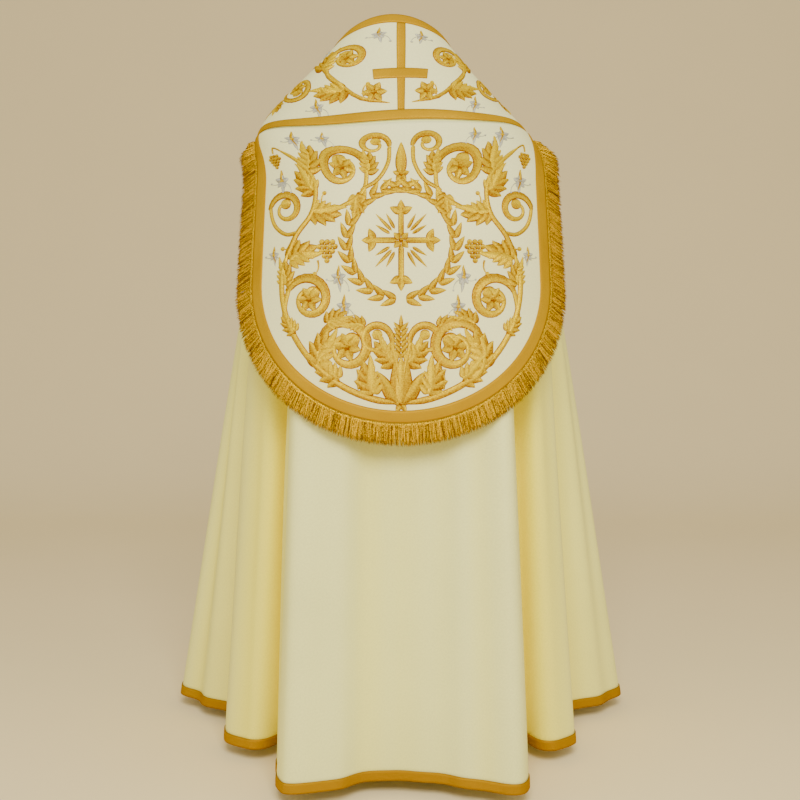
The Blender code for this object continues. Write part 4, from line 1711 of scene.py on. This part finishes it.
@dataclass(frozen=True)
class Embroidery:
    """Raised thread work on the hood and on the band's back, laid out afresh from plain church motifs."""

    hood: HoodForm
    hood_face: float = 0.0026
    band_face: float = 0.0021
    sunk: float = 0.0003
    columns: int = 4
    thin: float = 0.003
    stacked: float = 0.00015
    fade: float = 0.38
    fade_middle: float = 0.16

    def hood_gold(self) -> Needle:
        """Sew the hood's gold work: a cross in a wreath, with a vine on each side.

        Returns:
            The needle with its strokes.
        """
        needle = Needle()
        needle.cross(0.0, 0.262)
        first = len(needle.strokes)
        needle.half_wreath(0.0, 0.266, 0.112, 15)
        needle.rows(needle.stem, HOOD_STEMS)
        needle.rows(needle.scroll, HOOD_SCROLLS)
        needle.rows(needle.lobed_leaf, HOOD_LEAVES)
        needle.rows(needle.flower, HOOD_FLOWERS)
        needle.rows(needle.grapes, HOOD_GRAPES)
        needle.rows(needle.shoot, HOOD_SHOOTS)
        needle.rows(needle.heart, HOOD_BLOSSOMS)
        needle.leaf((0.0, 0.572), 64, 0.078, 0.034, 0.3, 0.05, LONG)
        needle.leaf((0.004, 0.576), 34, 0.072, 0.030, 0.35, 0.1, LONG)
        needle.mirror_from(first)
        needle.wheat(0.0, 0.490, 90.0, 0.072)
        for x, y, length, width in ((0.0, 0.578, 0.092, 0.038), (0.0, 0.128, 0.078, 0.026)):
            needle.leaf((x, y), 90, length, width, 0.0, -0.05, LONG)
            needle.flower(x, y, 0.018, 5, 18.0)
        return needle

    def band_gold(self) -> Needle:
        """Sew the band's gold work: a vine on each side of the plain cross.

        Returns:
            The needle with its strokes.
        """
        needle = Needle(crown=0.0015)
        needle.rows(needle.stem, BAND_STEMS)
        needle.rows(needle.scroll, BAND_SCROLLS)
        needle.rows(needle.lobed_leaf, BAND_LEAVES)
        needle.rows(needle.flower, BAND_FLOWERS)
        needle.rows(needle.shoot, BAND_SHOOTS)
        needle.rows(needle.heart, BAND_BLOSSOMS)
        needle.mirror_from(0)
        return needle

    def silver(self, blossoms: tuple[tuple[float, float, float], ...]) -> Needle:
        """Sew the silver blossoms of a table.

        Args:
            blossoms: the table.

        Returns:
            The needle with its strokes.
        """
        needle = Needle(0.3, 0.0010)
        needle.rows(needle.blossom, blossoms)
        needle.mirror_from(0)
        return needle

    def sew(
        self, name: str, needle: Needle, face: float, lay_on: Callable[[Array, Array, Array], Array]
    ) -> bpy.types.Object:
        """Turn strokes into one piece of thread work.

        Args:
            name: the piece's name.
            needle: the strokes.
            face: height of the cloth's face on its form.
            lay_on: gives points for places across and down the flat cloth and heights.

        Returns:
            The piece.
        """
        strokes = sorted(needle.strokes, key=lambda stroke: len(stroke.half))
        steps = np.array([len(stroke.half) - 1 for stroke in strokes])
        mesh = bmesh.new()
        for count in (SHORT, LONG):
            add_grids(mesh, self.columns, count, int((steps == count).sum()))
        first = np.concatenate([[0], np.cumsum(steps + 1)[:-1]])
        path = np.concatenate([stroke.path for stroke in strokes])
        aside = np.concatenate([stroke.aside() for stroke in strokes])
        half = np.concatenate([stroke.half for stroke in strokes])
        walked = np.concatenate([np.linspace(0, 1, len(s.half)) * len(s.half) * self.thin for s in strokes])
        tone = np.array([s.tone for s in strokes])
        crown = np.array([s.crown for s in strokes])
        side = np.array([s.side for s in strokes])
        owner = np.repeat(np.arange(len(strokes)), (steps + 1) * (self.columns + 1))

        def lay(s: Array, t: Array, _: Array) -> Laid:
            """Bend each grid along its stroke and pad it up.

            Args:
                s: places across the strokes, -1 to 1.
                t: places along the strokes, -1 at the start.

            Returns:
                The laid grids.
            """
            row = first[owner] + np.rint((t + 1) / 2 * steps[owner]).astype(int)
            flat = path[row] + aside[row] * (half[row] * s)[:, None]
            ends = np.minimum(1.0, 12 * (1 - np.abs(t))) * np.minimum(1.0, half[row] / self.thin)
            bulge = crown[owner] * np.sqrt(np.maximum(1 - s * s, 0.0) * ends)
            step_up = self.stacked * (owner % 7)
            height = face - self.sunk + (bulge + self.sunk) * (bulge > 0) + step_up * (np.abs(s) < 0.99)
            cloth = np.stack([walked[row], s * half[row]], axis=1)
            shade = tone[owner] + self.fade * (1 - t) / 2 - self.fade_middle
            # across tells the thread's material where to paint shade: towards each stroke's edges and on one
            # side of it.
            marks = {"tone": shade, "across": s * side[owner]}
            return Laid(lay_on(flat[:, 0], flat[:, 1], height), cloth, marks)

        return finish_mesh(name, mesh, lay)

    def build(self, gold: bpy.types.Material, silver: bpy.types.Material) -> list[bpy.types.Object]:
        """Make the four pieces of thread work.

        Args:
            gold: the gold thread's finish.
            silver: the silver thread's finish.

        Returns:
            The pieces.
        """
        hood = (self.hood_face, self.hood.lifted)
        band = (self.band_face, self.hood.cloak.on_flat)
        gold_work = (gold, "gold_galloon")
        silver_work = (silver, "bullion_thread")
        pieces = []
        for name, needle, (face, lay_on), (thread, slot) in (
            ("hood_gold_stitch", self.hood_gold(), hood, gold_work),
            ("hood_silver_stitch", self.silver(HOOD_BLOSSOMS), hood, silver_work),
            ("band_gold_stitch", self.band_gold(), band, gold_work),
            ("band_silver_stitch", self.silver(BAND_BLOSSOMS), band, silver_work),
        ):
            piece = self.sew(name, needle, face, lay_on)
            piece.data.materials.append(thread)
            pieces.append(sewn(piece, slot))
        return pieces


@dataclass(frozen=True)
class ChestTab:
    """The plain tab that joins the two fronts."""

    form: CloakForm
    top: float = 0.345
    bottom: float = 0.425
    reach: float = 0.09
    face: float = 0.0064
    wall: float = 0.0022
    swell: float = 0.010

    def build(self, cloth: bpy.types.Material) -> bpy.types.Object:
        """Make the tab.

        Args:
            cloth: its twill.

        Returns:
            The tab.
        """

        def lay(s: Array, t: Array) -> Laid:
            """Lay the tab's ends on the fronts and bridge the gap between them.

            Args:
                s: places across the grid, -1 to 1.
                t: places up the grid, -1 to 1.

            Returns:
                The laid grid.
            """
            depth = self.top + (self.bottom - self.top) * (1 - t) / 2
            inside = np.clip((np.abs(s) - 0.3) / 0.7, 0.0, 1.0)
            side = np.where(s < 0, 1.0, -1.0)
            share = side * (1 - self.reach * inside)
            points = self.form.lifted(depth, share, self.face)
            other = self.form.lifted(depth, -share, self.face)
            bridge = np.clip(0.5 + s / 0.6, 0.0, 1.0)[:, None]
            left = np.where(s[:, None] < 0, points, other)
            right = np.where(s[:, None] < 0, other, points)
            across = left * (1 - bridge) + right * bridge
            across[:, 1] += self.swell * np.sin(math.pi * bridge[:, 0])
            return Laid(across, np.stack([s * 0.13, t * 0.04], axis=1))

        piece = lay_grid("tab_cloth", 60, 14, lay)
        piece.data.materials.append(cloth)
        thicken(piece, self.wall)
        return sewn(piece, "ivory_cloth", "chest_tab")


@dataclass(frozen=True)
class Cut:
    """How a sheet of cloth was cut, how it is held, and what is sewn on it."""

    piece: str
    flat: tuple[float, float]
    rests_on: tuple[str, ...]
    trims: tuple[str, ...]
    held: str = "hung"
    area: float | None = None

    def declare(self) -> None:
        """Do nothing; the sheet is only listed."""


CUTS = (
    Cut("cloak_cloth", (3.02, 1.52), (), ("hem_braid",), area=math.pi * CloakForm.cloth_depth**2 / 2),
    Cut("band_cloth", (3.02, 0.24), ("cloak_cloth",),
        ("neck_braid", "band_braid", "cross_upright", "cross_arm", "band_gold_stitch", "band_silver_stitch")),
    Cut("hood_cloth", (0.632, 0.615), ("band_cloth", "cloak_cloth"),
        ("hood_braid", "hood_gold_stitch", "hood_silver_stitch", "fringe_strip", "fringe_strands")),
    Cut("tab_cloth", (0.27, 0.085), ("band_cloth",), (), "laid"),
)


# Soft lamps: name, place, size, watts. All aim at one point.
LAMPS = (
    ("key", (0.15, -3.4, 1.7), 1.8, 182.0),
    ("left_fill", (-3.0, -1.8, 0.2), 2.0, 14.0),
    ("right_fill", (3.0, -1.8, 0.2), 2.0, 14.0),
)
LAMP_AIM = np.array((0.0, 0.0, -0.7))


@dataclass(frozen=True)
class Studio:
    """A pale floor and backdrop, soft lights and the camera at the photograph's angle."""

    lens: float = 54.94
    camera_place: tuple[float, float, float] = (-0.002, -2.571, -0.5485)
    camera_pitch: float = 4.59
    sensor: float = 36.0
    floor_z: float = -1.45
    floor_half: float = 6.0
    flat_to: float = 2.5
    steep: float = 0.55
    backdrop_reach: float = 2.0
    pale: Colour = (0.96, 0.78, 0.42)
    darker: float = 0.96
    lamp_colour: Colour = (1.0, 0.985, 0.96)
    air_colour: Colour = (1.0, 0.98, 0.94)
    air_strength: float = 0.55

    def floor(self) -> None:
        """Lay the floor and raise the backdrop behind it."""
        mesh = bmesh.new()
        bmesh.ops.create_grid(mesh, x_segments=2, y_segments=40, size=self.floor_half)
        for vert in mesh.verts:
            rise = max(vert.co.y - self.flat_to, 0.0)
            vert.co.z = self.floor_z + self.steep * rise * rise
            if rise > 0:
                vert.co.y = self.flat_to + self.backdrop_reach * math.tanh(rise / self.backdrop_reach)
        data = bpy.data.meshes.new("studio_floor")
        mesh.to_mesh(data)
        mesh.free()
        data.shade_smooth()
        made, bench, shader = start_material("pale_paper", 0.9)
        place = bench.node("ShaderNodeTexCoord").outputs["Object"]
        noise = bench.node("ShaderNodeTexNoise", {"Vector": place, "Scale": 3.0, "Detail": 4.0}).outputs[0]
        darker = tuple(c * self.darker for c in self.pale)
        bench.put(shader["Base Color"], bench.blend(noise, self.pale, darker))
        data.materials.append(made)
        floor = bpy.data.objects.new("studio_floor", data)
        bpy.context.scene.collection.objects.link(floor)

    def lights(self) -> None:
        """Hang one wide soft light by the camera and two weaker ones at the sides."""
        world = bpy.data.worlds.new("studio_air")
        world.use_nodes = True
        background = world.node_tree.nodes["Background"]
        background.inputs["Color"].default_value = (*self.air_colour, 1.0)
        background.inputs["Strength"].default_value = self.air_strength
        bpy.context.scene.world = world
        for name, place, size, power in LAMPS:
            lamp = bpy.data.lights.new(name, "AREA")
            lamp.size = size
            lamp.energy = power
            lamp.color = self.lamp_colour
            holder = bpy.data.objects.new(name, lamp)
            bpy.context.scene.collection.objects.link(holder)
            toward = LAMP_AIM - np.array(place)
            holder.location = place
            yaw = math.atan2(-toward[0], toward[1])
            tilt = math.pi / 2 + math.atan2(toward[2], math.hypot(toward[0], toward[1]))
            holder.rotation_euler = (tilt, 0.0, yaw)

    def camera(self) -> None:
        """Set up the camera."""
        data = bpy.data.cameras.new("camera")
        data.lens = self.lens
        data.sensor_width = self.sensor
        holder = bpy.data.objects.new("camera", data)
        holder.location = self.camera_place
        holder.rotation_euler = (math.radians(90 - self.camera_pitch), 0.0, 0.0)
        bpy.context.scene.collection.objects.link(holder)
        bpy.context.scene.camera = holder

    def build(self) -> None:
        """Set up the floor, the lights and the camera."""
        self.floor()
        self.lights()
        self.camera()


def main() -> None:
    """Dress the cope piece by piece and report each."""
    logging.basicConfig(level=logging.INFO, format="%(message)s")
    book = EffectBook()
    satin, twill = SATIN.material(book), TWILL.material(book)
    galloon, hem_galloon, bullion = GALLOON.material(book), HEM_GALLOON.material(book), BULLION.material(book)
    cloak = CloakForm()
    hood = HoodForm(cloak)
    pieces = [Cloak(cloak).build(satin)]
    pieces += Band(cloak).build(twill, galloon)
    pieces.append(HemEdging(cloak).build(hem_galloon))
    pieces += Hood(hood).build(twill, galloon)
    pieces += Embroidery(hood).build(GOLD.material(book), SILVER.material(book))
    pieces += Fringe(hood).build(bullion)
    pieces.append(ChestTab(cloak).build(twill))
    for piece in pieces:
        LOG.info("%s: %d faces", piece.name, len(piece.data.polygons))
    for cut in CUTS:
        cut.declare()
    Studio().build()
    bpy.context.view_layer.update()


if __name__ == "__main__":
    main()
